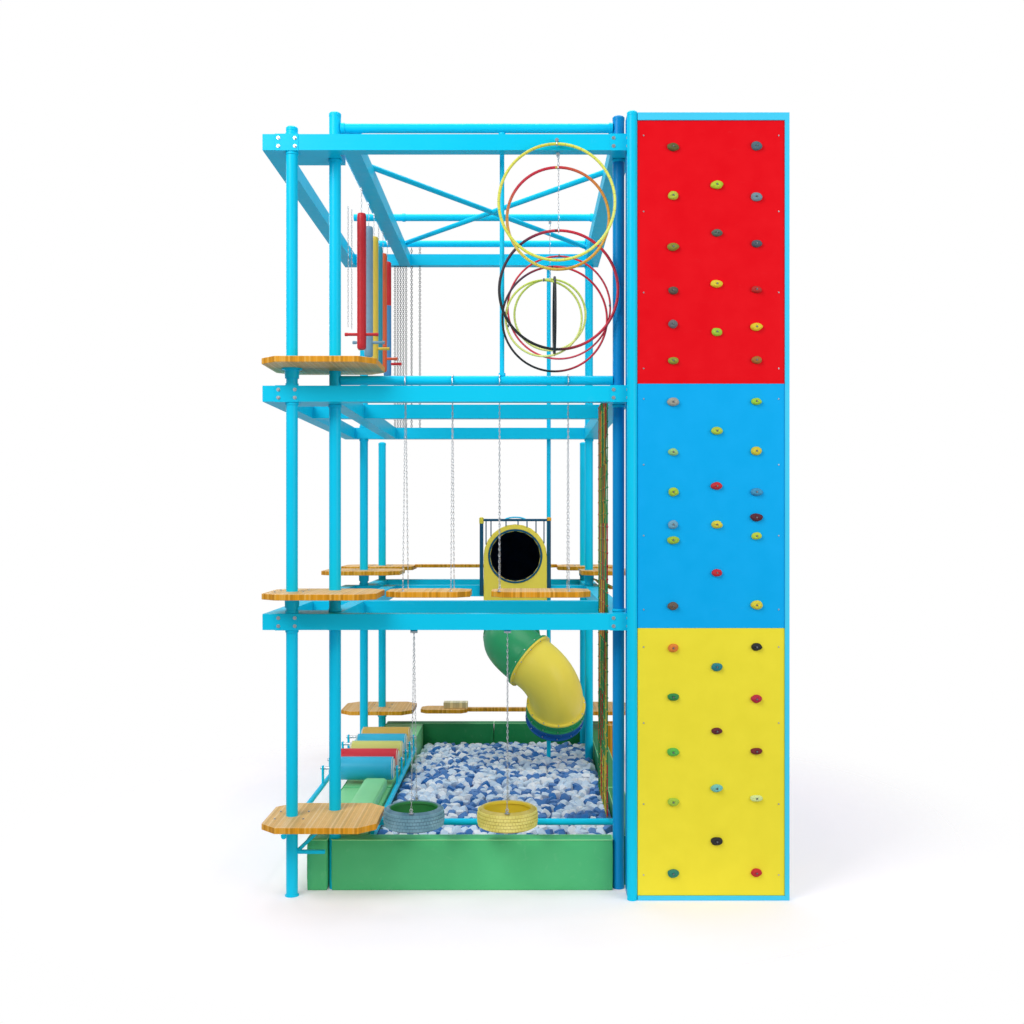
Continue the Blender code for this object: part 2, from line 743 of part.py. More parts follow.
def add_pit():
    inner_front = PIT_FRONT + PAD_THICK
    right = PIT_INNER_RIGHT + PAD_THICK
    rear = PIT_REAR + PAD_THICK
    front_right = RIGHT_X - INNER_POST_RADIUS - GAP
    front_left = PAD_JOINT_X + PAD_JOINT_GAP / 2
    front = place(
        "pit_front_pad",
        padded_block((front_left, PIT_FRONT, 0.0), (front_right, inner_front, PAD_HEIGHT), (12, 2, 4)),
        "pit_green",
    )
    left = place(
        "pit_left_pad",
        padded_block((PIT_LEFT, PIT_FRONT, 0.0), (PIT_INNER_LEFT, PIT_REAR - GAP, PAD_HEIGHT), (4, 16, 4)),
        "pit_green",
    )
    notch = place(
        "left_pad_notch",
        block(
            (PAD_JOINT_X - PAD_JOINT_GAP / 2, PIT_FRONT - 0.1, -0.1),
            (PIT_INNER_LEFT + 0.1, inner_front + GAP, PAD_HEIGHT + 0.1),
        ),
        None,
    )
    room = 0.004
    posts = [(INNER_LEFT_X, INNER_FRONT_Y, INNER_POST_RADIUS)]
    hollow = [
        place(f"pad_hollow_{i}", rod((x, y, -0.1), (x, y, PAD_HEIGHT + 0.1), radius + room), None)
        for i, (x, y, radius) in enumerate(posts * 2)
    ]
    combine(left, [notch, hollow[0]], "DIFFERENCE")
    combine(front, [hollow[1]], "DIFFERENCE")
    place(
        "pit_right_pad",
        padded_block(
            (PIT_INNER_RIGHT, INNER_FRONT_Y + INNER_POST_RADIUS + 0.02, 0.0),
            (right, PIT_REAR - GAP, PAD_HEIGHT),
            (2, 16, 4),
        ),
        "pit_green",
    )
    place(
        "pit_rear_pad",
        padded_block((PIT_LEFT, PIT_REAR, 0.0), (right, rear, PAD_HEIGHT), (12, 2, 4)),
        "pit_green",
    )

    low = (PIT_INNER_LEFT + GAP, inner_front + 2 * GAP, 0.0)
    high = (PIT_INNER_RIGHT - GAP, PIT_REAR - GAP, FOAM_TOP)
    foam = place("foam_fill", foam_bed(low, high, 12, 24), "foam")
    room = 0.006
    feet = (
        (REAR_RIGHT_X, REAR_Y, POST_RADIUS),
        (BACK_RIGHT_X, BACK_Y, POST_RADIUS),
        (SLIDE_X + PANEL_WIDTH / 2 + GUARD_RADIUS + GAP, SLIDE_POST_Y, GUARD_RADIUS),
    )
    cutters = [
        place(f"foam_hole_{i}", rod((x, y, -0.1), (x, y, FOAM_TOP + 0.1), radius + room), None)
        for i, (x, y, radius) in enumerate(feet)
    ]
    combine(foam, cutters, "DIFFERENCE")


def foam_bed(low, high, columns, rows):
    """The heap of foam blocks as one solid with an uneven top."""
    bm = bmesh.new()

    def spot(i, j, level):
        x = low[0] + (high[0] - low[0]) * i / columns
        y = low[1] + (high[1] - low[1]) * j / rows
        if not level:
            return (x, y, low[2])
        edge = i in (0, columns) or j in (0, rows)
        dip = 0.5 if edge else 0.5 + 0.5 * math.sin(2.4 * i + 1.1 * j) * math.cos(1.7 * j - 0.6 * i)
        return (x, y, high[2] - FOAM_RELIEF * dip)

    grid = [
        [[bm.verts.new(spot(i, j, level)) for j in range(rows + 1)] for i in range(columns + 1)]
        for level in (0, 1)
    ]
    for level in (0, 1):
        for i in range(columns):
            for j in range(rows):
                g = grid[level]
                bm.faces.new((g[i][j], g[i + 1][j], g[i + 1][j + 1], g[i][j + 1]))
    for i in range(columns):
        for j in (0, rows):
            a, b = grid
            bm.faces.new((a[i][j], a[i + 1][j], b[i + 1][j], b[i][j]))
    for j in range(rows):
        for i in (0, columns):
            a, b = grid
            bm.faces.new((a[i][j], a[i][j + 1], b[i][j + 1], b[i][j]))
    return bm


# Tube slide

SLIDE_FRONT_Y = REAR_Y - BEAM_DEPTH / 2 - GAP
GUARD_Y = SLIDE_FRONT_Y - GUARD_POST_RADIUS
SLIDE_POST_Y = REAR_Y + BEAM_DEPTH / 2 + GAP + GUARD_RADIUS
SLIDE_CORNERS = (
    (SLIDE_X, SLIDE_FRONT_Y, SLIDE_Z),
    (SLIDE_X, SLIDE_TURN_Y, SLIDE_Z),
    (SLIDE_X, SLIDE_TURN_Y, SLIDE_TURN_Z),
    (-0.24, 4.53, 2.02),
    (0.458, 4.213, 1.518),
    (0.42, 4.717, 0.946),
)
SLIDE_BENDS = (0.50, 0.50, 0.48, 0.48)


def slide_runs():
    """The centre line of the slide, cut into its moulded sections."""
    corners = [Vector(c) for c in SLIDE_CORNERS]
    arcs = []
    for k, radius in enumerate(SLIDE_BENDS):
        piece = bent(corners[k : k + 3], radius, 5)
        arcs.append(piece[1:-1])
    along = (corners[4] - corners[3]).normalized() * SLIDE_LEAD
    away = (corners[5] - corners[4]).normalized() * SLIDE_LEAD
    drop = (arcs[0][-1] + arcs[1][0]) / 2
    level = (arcs[1][-1] + arcs[2][0]) / 2
    top = [corners[0], *arcs[0], drop]
    back = [drop, *arcs[1], level]
    upper = [level, *arcs[2], arcs[2][-1] + along]
    turn = [upper[-1], *arcs[3], arcs[3][-1] + away]
    half = (turn[-1] + corners[-1]) / 2
    lower = [turn[-1], half]
    chute = [half, corners[-1]]
    return top, back, upper, turn, lower, chute


def flanged(path, start=True, end=True):
    """The path and outer radii of a section with a flange at its ends, held clear of the next one."""
    points = [Vector(p) for p in path]
    into = (points[1] - points[0]).normalized()
    out = (points[-1] - points[-2]).normalized()
    points[0] = points[0] + into * GAP
    points[-1] = points[-1] - out * GAP
    radii = [SLIDE_RADIUS] * len(points)
    if start:
        step = points[0] + into * SLIDE_FLANGE_LENGTH
        points[:1] = [points[0], step, step]
        radii[:1] = [SLIDE_RADIUS + SLIDE_FLANGE, SLIDE_RADIUS + SLIDE_FLANGE, SLIDE_RADIUS]
    if end:
        step = points[-1] - out * SLIDE_FLANGE_LENGTH
        points[-1:] = [step, step, points[-1]]
        radii[-1:] = [SLIDE_RADIUS, SLIDE_RADIUS + SLIDE_FLANGE, SLIDE_RADIUS + SLIDE_FLANGE]
    return points, radii


def add_slide():
    bore = SLIDE_RADIUS - SLIDE_WALL
    top, back, upper, turn, lower, chute = slide_runs()
    sections = (
        ("slide_top_bend", top, "slide_green"),
        ("slide_back_bend", back, "slide_green"),
        ("slide_upper_bend", upper, "slide_green"),
        ("slide_tube", turn, "slide_yellow"),
        ("slide_lower_section", lower, "slide_green"),
        ("slide_exit", chute, "slide_blue"),
    )
    for name, run, finish in sections:
        points, radii = flanged(run)
        place(name, sweep(points, radii, bore, SLIDE_SIDES), finish)

    half = PANEL_WIDTH / 2
    crown = GUARD_TOP - 0.06
    arch = [(SLIDE_X + half, PANEL_BOTTOM), (SLIDE_X + half, SLIDE_Z)]
    for k in range(1, 12):
        angle = math.pi * k / 12
        arch.append((SLIDE_X + half * math.cos(angle), SLIDE_Z + (crown - SLIDE_Z) * math.sin(angle)))
    arch += [(SLIDE_X - half, SLIDE_Z), (SLIDE_X - half, PANEL_BOTTOM)]
    bm = bmesh.new()
    back = SLIDE_FRONT_Y
    face = bm.faces.new([bm.verts.new((x, back, z)) for x, z in arch])
    grown = bmesh.ops.extrude_face_region(bm, geom=[face])["geom"]
    moved = [g for g in grown if isinstance(g, bmesh.types.BMVert)]
    bmesh.ops.translate(bm, verts=moved, vec=(0, -SLIDE_PANEL_THICK, 0))
    panel = place("slide_panel", bm, "slide_yellow", smooth=False)
    mouth = place(
        "panel_mouth",
        rod((SLIDE_X, back + 0.1, SLIDE_Z), (SLIDE_X, back - 0.1, SLIDE_Z), bore, SLIDE_SIDES),
        None,
    )
    combine(panel, [mouth], "DIFFERENCE")

    side = half + GUARD_RADIUS + GAP
    left, right = SLIDE_X - side, SLIDE_X + side
    foot = LOWER_BEAM_Z + 0.02
    guard = place(
        "slide_guard",
        rod((right, SLIDE_POST_Y, 0.0), (right, SLIDE_POST_Y, TOP_BEAM_Z + 0.10), GUARD_RADIUS),
        "guard_teal",
    )
    link_z = GUARD_TOP - 0.10
    post_top = GUARD_TOP + 0.04
    post = GUARD_POST_RADIUS
    bar = GUARD_BAR_RADIUS
    joined = [
        place("guard_right", rod((right, GUARD_Y, foot), (right, GUARD_Y, post_top), post), None),
        place("guard_left", rod((left, GUARD_Y, foot), (left, GUARD_Y, post_top), post), None),
        place("guard_top", rod((left, GUARD_Y, GUARD_TOP), (right, GUARD_Y, GUARD_TOP), bar, 8), None),
        place("guard_link", rod((right, GUARD_Y, link_z), (right, SLIDE_POST_Y, link_z), bar, 8), None),
    ]
    combine(guard, joined)


# Roller bridge


def roller_places():
    return [ROLLER_FIRST_Y + ROLLER_SPACING * i for i in range(5)]


def add_roller_bridge():
    finishes = ("roller_blue", "roller_red", "roller_lime", "roller_blue", "roller_tan")
    bore = (AXLE_RADIUS + GAP) / math.cos(math.pi / ROUND_SIDES)
    for i, (y, finish) in enumerate(zip(roller_places(), finishes)):
        left = LONG_ROLLER_LEFT if finish == "roller_red" else ROLLER_LEFT
        ends = [(left, 0.82), (left + 0.03, 1.0), (ROLLER_RIGHT - 0.03, 1.0), (ROLLER_RIGHT, 0.82)]
        path = [(x, y, ROLLER_Z) for x, _ in ends]
        radii = [ROLLER_RADIUS * share for _, share in ends]
        place(
            f"roller_{i + 1}",
            sweep(path, radii, bore),
            finish,
            pivot=((left + ROLLER_RIGHT) / 2, y, ROLLER_Z),
        )
    under_board = GROUND_BOARD_TOP - BOARD_THICK - GAP
    rear_end = BACK_Y - BOARD_DEPTH / 2 + 0.12
    front_end = PIT_FRONT + PAD_THICK + 0.01
    last = roller_places()[-1] + 0.20
    ladder = place(
        "roller_frame",
        rod(
            (ROLLER_RAIL_LEFT_X, front_end, ROLLER_RAIL_Z),
            (ROLLER_RAIL_LEFT_X, rear_end, ROLLER_RAIL_Z),
            ROLLER_RAIL_RADIUS,
            12,
        ),
        "frame_blue",
    )
    joined = [
        place(
            "right_roller_rail",
            rod(
                (ROLLER_RAIL_RIGHT_X, front_end, ROLLER_RAIL_Z),
                (ROLLER_RAIL_RIGHT_X, last, ROLLER_RAIL_Z),
                ROLLER_RAIL_RADIUS,
                12,
            ),
            None,
        )
    ]
    standing = [
        (ROLLER_RAIL_LEFT_X, front_end + 0.03),
        (ROLLER_RAIL_RIGHT_X, front_end + 0.03),
        (ROLLER_RAIL_LEFT_X, rear_end - 0.05),
    ]
    for i, (x, y) in enumerate(standing):
        lug = block(
            (x - RAIL_LUG_HALF, y - LUG_DEPTH / 2, ROLLER_RAIL_Z),
            (x + RAIL_LUG_HALF, y + LUG_DEPTH / 2, under_board),
        )
        joined.append(place(f"rail_lug_{i}", lug, None))
    for i, y in enumerate(roller_places()):
        for x in (ROLLER_RAIL_LEFT_X, ROLLER_RAIL_RIGHT_X):
            lug = block(
                (x - AXLE_LUG_HALF, y - LUG_DEPTH / 2, ROLLER_RAIL_Z),
                (x + AXLE_LUG_HALF, y + LUG_DEPTH / 2, ROLLER_Z + AXLE_END),
            )
            joined.append(place(f"axle_lug_{i}_{x}", lug, None))
        axle = rod(
            (ROLLER_RAIL_LEFT_X - AXLE_END, y, ROLLER_Z),
            (ROLLER_RAIL_RIGHT_X + AXLE_END, y, ROLLER_Z),
            AXLE_RADIUS,
            12,
        )
        joined.append(place(f"axle_{i}", axle, None))
    combine(ladder, joined)


# Hanging tyres and planks


def tyre_ring(x, y):
    """A tyre lying flat, as a turned ring: tread outside, flat side walls, open hole."""
    low, high = TYRE_BOTTOM, TYRE_BOTTOM + TYRE_HEIGHT
    edge = 0.035
    profile = [
        (TYRE_INNER, low + edge * 0.6),
        (TYRE_INNER + edge * 0.6, low),
        (TYRE_OUTER - edge, low),
        (TYRE_OUTER, low + edge * 1.4),
        (TYRE_OUTER, high - edge * 1.4),
        (TYRE_OUTER - edge, high),
        (TYRE_INNER + edge * 0.6, high),
        (TYRE_INNER, high - edge * 0.6),
    ]
    sides = 28
    bm = bmesh.new()
    rings = [
        [bm.verts.new((x + r * math.cos(a), y + r * math.sin(a), z)) for r, z in profile]
        for a in (2 * math.pi * k / sides for k in range(sides))
    ]
    for k in range(sides):
        ring, following = rings[k], rings[(k + 1) % sides]
        for j in range(len(profile)):
            m = (j + 1) % len(profile)
            bm.faces.new((ring[j], ring[m], following[m], following[j]))
    return bm


def add_tyres():
    hang_z = LOWER_BEAM_Z - GAP - EYE_RADIUS
    top = TYRE_BOTTOM + TYRE_HEIGHT
    ring_radius = (TYRE_INNER + TYRE_OUTER) / 2
    first_x = FRONT_BOARD_X + BOARD_WIDTH / 2 + TYRE_BOARD_ROOM + TYRE_OUTER
    for i, (x, finish) in enumerate(((first_x, "tyre_teal"), (SECOND_TYRE_X, "tyre_yellow"))):
        pivot = (x, 0.0, hang_z)
        tyre = place(f"tyre_{i + 1}", tyre_ring(x, 0.0), finish, pivot=pivot)
        eye = rod((x - EYE_REACH, 0.0, hang_z), (x + EYE_REACH, 0.0, hang_z), EYE_RADIUS, 12)
        joined = [place(f"tyre_eye_{i}", eye, None)]
        for j, y in enumerate((-ring_radius, ring_radius)):
            rope = rod((x, 0.0, hang_z), (x, y, top + 0.02), ROPE_RADIUS, 8)
            foot = rod((x, y, top - 0.02), (x, y, top + 0.03), EYE_RADIUS, 10)
            joined.append(place(f"tyre_cord_{i}_{j}", rope, None))
            joined.append(place(f"tyre_foot_{i}_{j}", foot, None))
        combine(tyre, joined)


def add_planks():
    hang_z = UPPER_RAIL_Z - RAIL_RADIUS - GAP - EYE_RADIUS
    planks = ((-1.40, -0.55, (-1.22, -0.74)), (-0.34, 0.66, (-0.26, 0.44)))
    for i, (left, right, ropes) in enumerate(planks):
        middle = (left + right) / 2
        top = LOWER_BOARD_TOP
        outline = board_outline(middle, INNER_FRONT_Y, right - left, PLANK_DEPTH, BOARD_CORNER * 0.8)
        plank = place(
            f"swing_plank_{i + 1}",
            slab(outline, top - BOARD_THICK, top),
            "wood",
            pivot=(middle, INNER_FRONT_Y, hang_z),
            smooth=False,
        )
        joined = []
        for j, x in enumerate(ropes):
            eye = rod(
                (x - EYE_REACH, INNER_FRONT_Y, hang_z),
                (x + EYE_REACH, INNER_FRONT_Y, hang_z),
                EYE_RADIUS,
                12,
            )
            joined.append(place(f"plank_eye_{i}_{j}", eye, None))
            for k, side in enumerate((-1, 1)):
                foot = (x, INNER_FRONT_Y + side * PLANK_ROPE_Y, top - BOARD_THICK / 2)
                rope = rod((x, INNER_FRONT_Y, hang_z), foot, ROPE_RADIUS, 8)
                joined.append(place(f"plank_rope_{i}_{j}_{k}", rope, None))
        combine(plank, joined)


# Hoops and padded poles

BEAM_FACE = BEAM_DEPTH / 2 + GAP
BEAM_MIDDLE_Z = TOP_BEAM_Z + BEAM_HEIGHT / 2
EYE_END = BEAM_FACE + HOOP_EYE_LENGTH
HOOP_OFFSET = 0.120
UNDER_BEAM_Z = TOP_BEAM_Z - GAP - EYE_RADIUS
UNDER_RAIL_Z = ROOF_RAIL_Z - MID_RAIL_RADIUS - GAP - EYE_RADIUS
MID_EYE_FRONT = ROOF_MID_Y - EYE_HALF
MID_EYE_REAR = ROOF_MID_Y + EYE_HALF

# Each hoop: name, finish, plane, centre x, centre height, radius, height and both ends of its pivot
HOOPS = (
    ("hoop_1", "hoop_yellow", -HOOP_OFFSET, 0.315, 6.90, 0.575, BEAM_MIDDLE_Z, -EYE_END, -BEAM_FACE),
    ("hoop_2", "hoop_lime", 0.0, 0.33, 6.77, 0.51, UNDER_BEAM_Z, -EYE_HALF, EYE_HALF),
    ("hoop_3", "hoop_red", HOOP_OFFSET, 0.34, 6.08, 0.60, BEAM_MIDDLE_Z, BEAM_FACE, EYE_END),
    ("hoop_4", "hoop_lime", ROOF_MID_Y, 0.33, 6.47, 0.47, UNDER_RAIL_Z, MID_EYE_FRONT, MID_EYE_REAR),
)


def ring_tube(centre, radius, tube, turns=30, sides=6):
    """A closed round hoop standing in the XZ plane."""
    bm = bmesh.new()
    rings = []
    for k in range(turns):
        a = 2 * math.pi * k / turns
        out = Vector((math.cos(a), 0.0, math.sin(a)))
        spot = Vector(centre) + radius * out
        rings.append(
            [
                bm.verts.new(spot + tube * (math.cos(b) * out + math.sin(b) * Vector((0, 1, 0))))
                for b in (2 * math.pi * j / sides for j in range(sides))
            ]
        )
    for k in range(turns):
        ring, following = rings[k], rings[(k + 1) % turns]
        for j in range(sides):
            m = (j + 1) % sides
            bm.faces.new((ring[j], ring[m], following[m], following[j]))
    return bm


def add_hoops():
    for name, finish, y, x, z, radius, hang_z, eye_front, eye_rear in HOOPS:
        pivot = (x, y, hang_z)
        hoop = place(name, ring_tube((x, y, z), radius, HOOP_TUBE), finish, pivot=pivot)
        rope = place(f"{name}_rope", rod((x, y, hang_z), (x, y, z + radius), ROPE_RADIUS, 8), None)
        eye = place(f"{name}_eye", rod((x, eye_front, hang_z), (x, eye_rear, hang_z), EYE_RADIUS, 10), None)
        combine(hoop, [rope, eye])


POLE_RAIL_X = INNER_LEFT_X
POLES = (
    ("padded_pole_1", "roller_red", 2.10),
    ("padded_pole_2", "pad_grey", 2.70),
    ("padded_pole_3", "slide_yellow", 3.20),
    ("padded_pole_4", "pad_orange", 4.10),
    ("padded_pole_5", "roller_red", 4.60),
)


def add_poles():
    rail_bottom = ROOF_RAIL_Z - SIDE_RAIL_RADIUS * math.cos(math.pi / ROUND_SIDES)
    hang_z = rail_bottom - 2 * GAP - EYE_RADIUS
    x = POLE_RAIL_X
    for name, finish, y in POLES:
        bottom = POLE_PAD_TOP - POLE_PAD_LENGTH
        ends = [(bottom, 0.7), (bottom + 0.02, 1.0), (POLE_PAD_TOP - 0.02, 1.0), (POLE_PAD_TOP, 0.7)]
        pole = place(
            name,
            sweep([(x, y, z) for z, _ in ends], [POLE_PAD_RADIUS * share for _, share in ends], sides=14),
            finish,
            pivot=(x, y, hang_z),
        )
        peg_z = bottom + PEG_HEIGHT
        chain = rod((x, y, POLE_PAD_TOP - 0.05), (x, y, hang_z), ROPE_RADIUS, 8)
        eye = rod((x, y - EYE_HALF, hang_z), (x, y + EYE_HALF, hang_z), EYE_RADIUS)
        peg = rod((x - PEG_REACH, y, peg_z), (x + PEG_REACH, y, peg_z), PEG_RADIUS, 10)
        joined = [
            place(f"{name}_chain", chain, None),
            place(f"{name}_eye", eye, None),
            place(f"{name}_peg", peg, None),
        ]
        combine(pole, joined)


# Rope net


def add_net():
    width = NET_CELLS_Y * NET_CELL_Y
    height = NET_CELLS_Z * NET_CELL_Z
    half = NET_STRAND / 2
    rects = []
    for i in range(NET_CELLS_Y + 1):
        y = NET_FRONT + half + i * NET_CELL_Y
        rects.append((y - half, y + half, NET_BOTTOM, NET_BOTTOM + height + NET_STRAND))
    for j in range(NET_CELLS_Z + 1):
        z = NET_BOTTOM + half + j * NET_CELL_Z
        rects.append((NET_FRONT, NET_FRONT + width + NET_STRAND, z - half, z + half))
    beam_face = FRAME_RIGHT - RIGHT_BEAM_WIDTH - GAP
    place(
        "rope_net",
        lattice(rects, [], beam_face - NET_STRAND, beam_face, axes=(1, 2, 0)),
        "net_green",
        smooth=False,
    )


def main():
    clear_scene()
    add_posts()
    add_beam_frames()
    add_rails()
    add_boards()
    add_wall()
    add_pit()
    add_slide()
    add_roller_bridge()
    add_tyres()
    add_planks()
    add_hoops()
    add_poles()
    add_net()


main()
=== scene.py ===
"""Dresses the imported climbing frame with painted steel, wood, vinyl, foam, rope and chain.

Sizes are in metres. Places are in tower coordinates, as in the part's source: X = 0 on the centre
of the view, Y = 0 on the axis of the outer front post, Z = 0 on the floor. SHIFT takes a piece
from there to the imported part's own frame.
"""

import math
import random

import bmesh
import bpy
from bpy.props import FloatProperty, FloatVectorProperty, IntProperty, PointerProperty
from mathutils import Matrix, Vector, noise


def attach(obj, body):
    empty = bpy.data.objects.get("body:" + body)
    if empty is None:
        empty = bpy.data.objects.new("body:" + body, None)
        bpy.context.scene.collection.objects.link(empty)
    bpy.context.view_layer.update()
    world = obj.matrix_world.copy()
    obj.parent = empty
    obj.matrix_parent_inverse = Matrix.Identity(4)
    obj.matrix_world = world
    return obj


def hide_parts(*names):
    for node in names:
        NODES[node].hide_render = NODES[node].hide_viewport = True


bl_info = {
    "name": "Climbing Frame",
    "version": (1, 0, 0),
    "blender": (4, 5, 0),
    "location": "3D View > Sidebar > Climbing Frame",
    "description": "Dresses a climbing frame with its wall, pit, slide and hanging obstacles",
    "category": "Add Mesh",
}

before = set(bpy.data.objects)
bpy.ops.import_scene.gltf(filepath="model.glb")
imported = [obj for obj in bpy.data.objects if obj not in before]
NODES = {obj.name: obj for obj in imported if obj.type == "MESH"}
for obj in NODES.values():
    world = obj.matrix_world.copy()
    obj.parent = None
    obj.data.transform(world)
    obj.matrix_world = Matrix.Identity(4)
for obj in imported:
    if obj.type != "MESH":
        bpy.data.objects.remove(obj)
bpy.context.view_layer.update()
SHIFT = Vector((0.14, -3.31, 0.0))
GAP = 0.0003

# Planes and columns of the tower
FRONT_Y = 0.0
INNER_FRONT_Y = 0.24
ROOF_MID_Y = 3.60
REAR_Y = 5.00
BACK_Y = 6.60
OUTER_LEFT_X = -2.33
INNER_LEFT_X = -1.94
BACK_LEFT_X = -2.27
RIGHT_X = 0.955
REAR_RIGHT_X = 0.925
BACK_RIGHT_X = 0.93
FRAME_LEFT = -2.61
FRAME_RIGHT = 1.062
TOP_INNER_X = -1.73

# Heights
TOP_BEAM_Z = 7.43
UPPER_BEAM_Z = 4.93
LOWER_BEAM_Z = 2.66
BEAM_HEIGHT = 0.16
BEAM_HALF = 0.07
ROOF_RAIL_Z = 7.754
UPPER_RAIL_Z = 5.179
TYRE_RAIL_Z = 0.617
TYRE_RAIL_Y = 0.45
GROUND_BOARD_TOP = 0.80
LOWER_BOARD_TOP = 3.04
UPPER_BOARD_TOP = 5.33
BOARD_THICK = 0.06
POST_RADIUS = 0.058
INNER_POST_RADIUS = 0.060
FRONT_RAIL_RADIUS = 0.048
PEG_RADIUS = 0.018
SHARP_ANGLE = math.radians(34)

BLACK = (0.0, 0.0, 0.0)
WHITE = (1.0, 1.0, 1.0)


def colour(red, green, blue):
    """A screen colour, 0 to 255, as the linear values that shaders take."""
    return tuple(
        (v / 255 / 12.92) if v <= 10 else ((v / 255 + 0.055) / 1.055) ** 2.4
        for v in (red, green, blue)
    )


def swatch(label, description, red, green, blue):
    """A colour property for the panel."""
    return FloatVectorProperty(
        name=label, description=description, subtype="COLOR", size=3, min=0.0, max=1.0,
        default=colour(red, green, blue),
    )


def length(label, description, default):
    """A size property for the panel, in metres."""
    return FloatProperty(
        name=label, description=description, default=default, min=0.0005, max=2.0, unit="LENGTH"
    )


# Sizes and colours that a user would change


class ClimbColours(bpy.types.PropertyGroup):
    """Paints and finishes of the climbing frame."""

    frame_blue: swatch("Frame blue", "Paint of the posts, beams and rails", 6, 202, 238)
    # Painted shade: the frame blue as it looks in the wall's shadow, for the front right post and
    # the strip beside the wall
    deep_blue: swatch("Deep blue", "Paint of the front right post", 0, 142, 206)
    trim_cyan: swatch("Trim cyan", "Paint of the strips round the wall", 70, 205, 240)
    board_top: swatch("Board top", "Lacquered face of the wooden boards", 244, 192, 112)
    board_edge: swatch("Board edge", "Laminated edge of the wooden boards", 238, 160, 24)
    wall_red: swatch("Wall red", "Upper wall panel", 232, 0, 18)
    wall_blue: swatch("Wall blue", "Middle wall panel", 0, 172, 236)
    wall_yellow: swatch("Wall yellow", "Lower wall panel", 244, 226, 56)
    pit_green: swatch("Pit green", "Vinyl of the pit pads", 74, 188, 118)
    # Painted shade: the pit green darkened as it looks on the pit's inner walls
    pit_deep: swatch("Deep pit green", "Vinyl of the pit's inner walls", 6, 136, 70)
    slide_green: swatch("Slide green", "Bends of the tube slide", 44, 158, 98)
    slide_yellow: swatch("Slide yellow", "Tube and entrance of the slide", 254, 226, 84)
    slide_blue: swatch("Slide blue", "Lower end of the slide", 22, 96, 170)
    guard_teal: swatch("Guard teal", "Rail round the slide's entrance", 24, 84, 112)
    foam_pale: swatch("Pale foam", "Light foam blocks", 212, 228, 246)
    foam_blue: swatch("Blue foam", "Dark foam blocks", 34, 116, 190)


class ClimbSizes(bpy.types.PropertyGroup):
    """Sizes of the details that the solids leave out."""

    edge_round: length("Edge rounding", "Rounding of the box beams' edges", 0.008)
    board_round: length("Board rounding", "Rounding of the boards' edges", 0.007)
    strip_width: length("Laminate strip", "Width of one strip of the laminated boards", 0.022)
    block_size: length("Foam block", "Edge of one foam block", 0.125)
    link_pitch: length("Chain pitch", "Distance from one chain link to the next", 0.030)
    link_wire: length("Chain wire", "Thickness of the wire of a chain link", 0.0046)
    net_cell: length("Net cell", "Opening of the rope net", 0.134)
    net_strand: length("Net strand", "Thickness of the ropes of the net", 0.014)
    hold_width: length("Hold width", "Width of a climbing hold", 0.112)
    pad_swell: length("Pad swell", "Most that a pit pad's cover may swell", 0.010)
    round_sides: IntProperty(
        name="Round sides", description="Sides of a round tube", default=40, min=12, max=96
    )


# Surface finishes


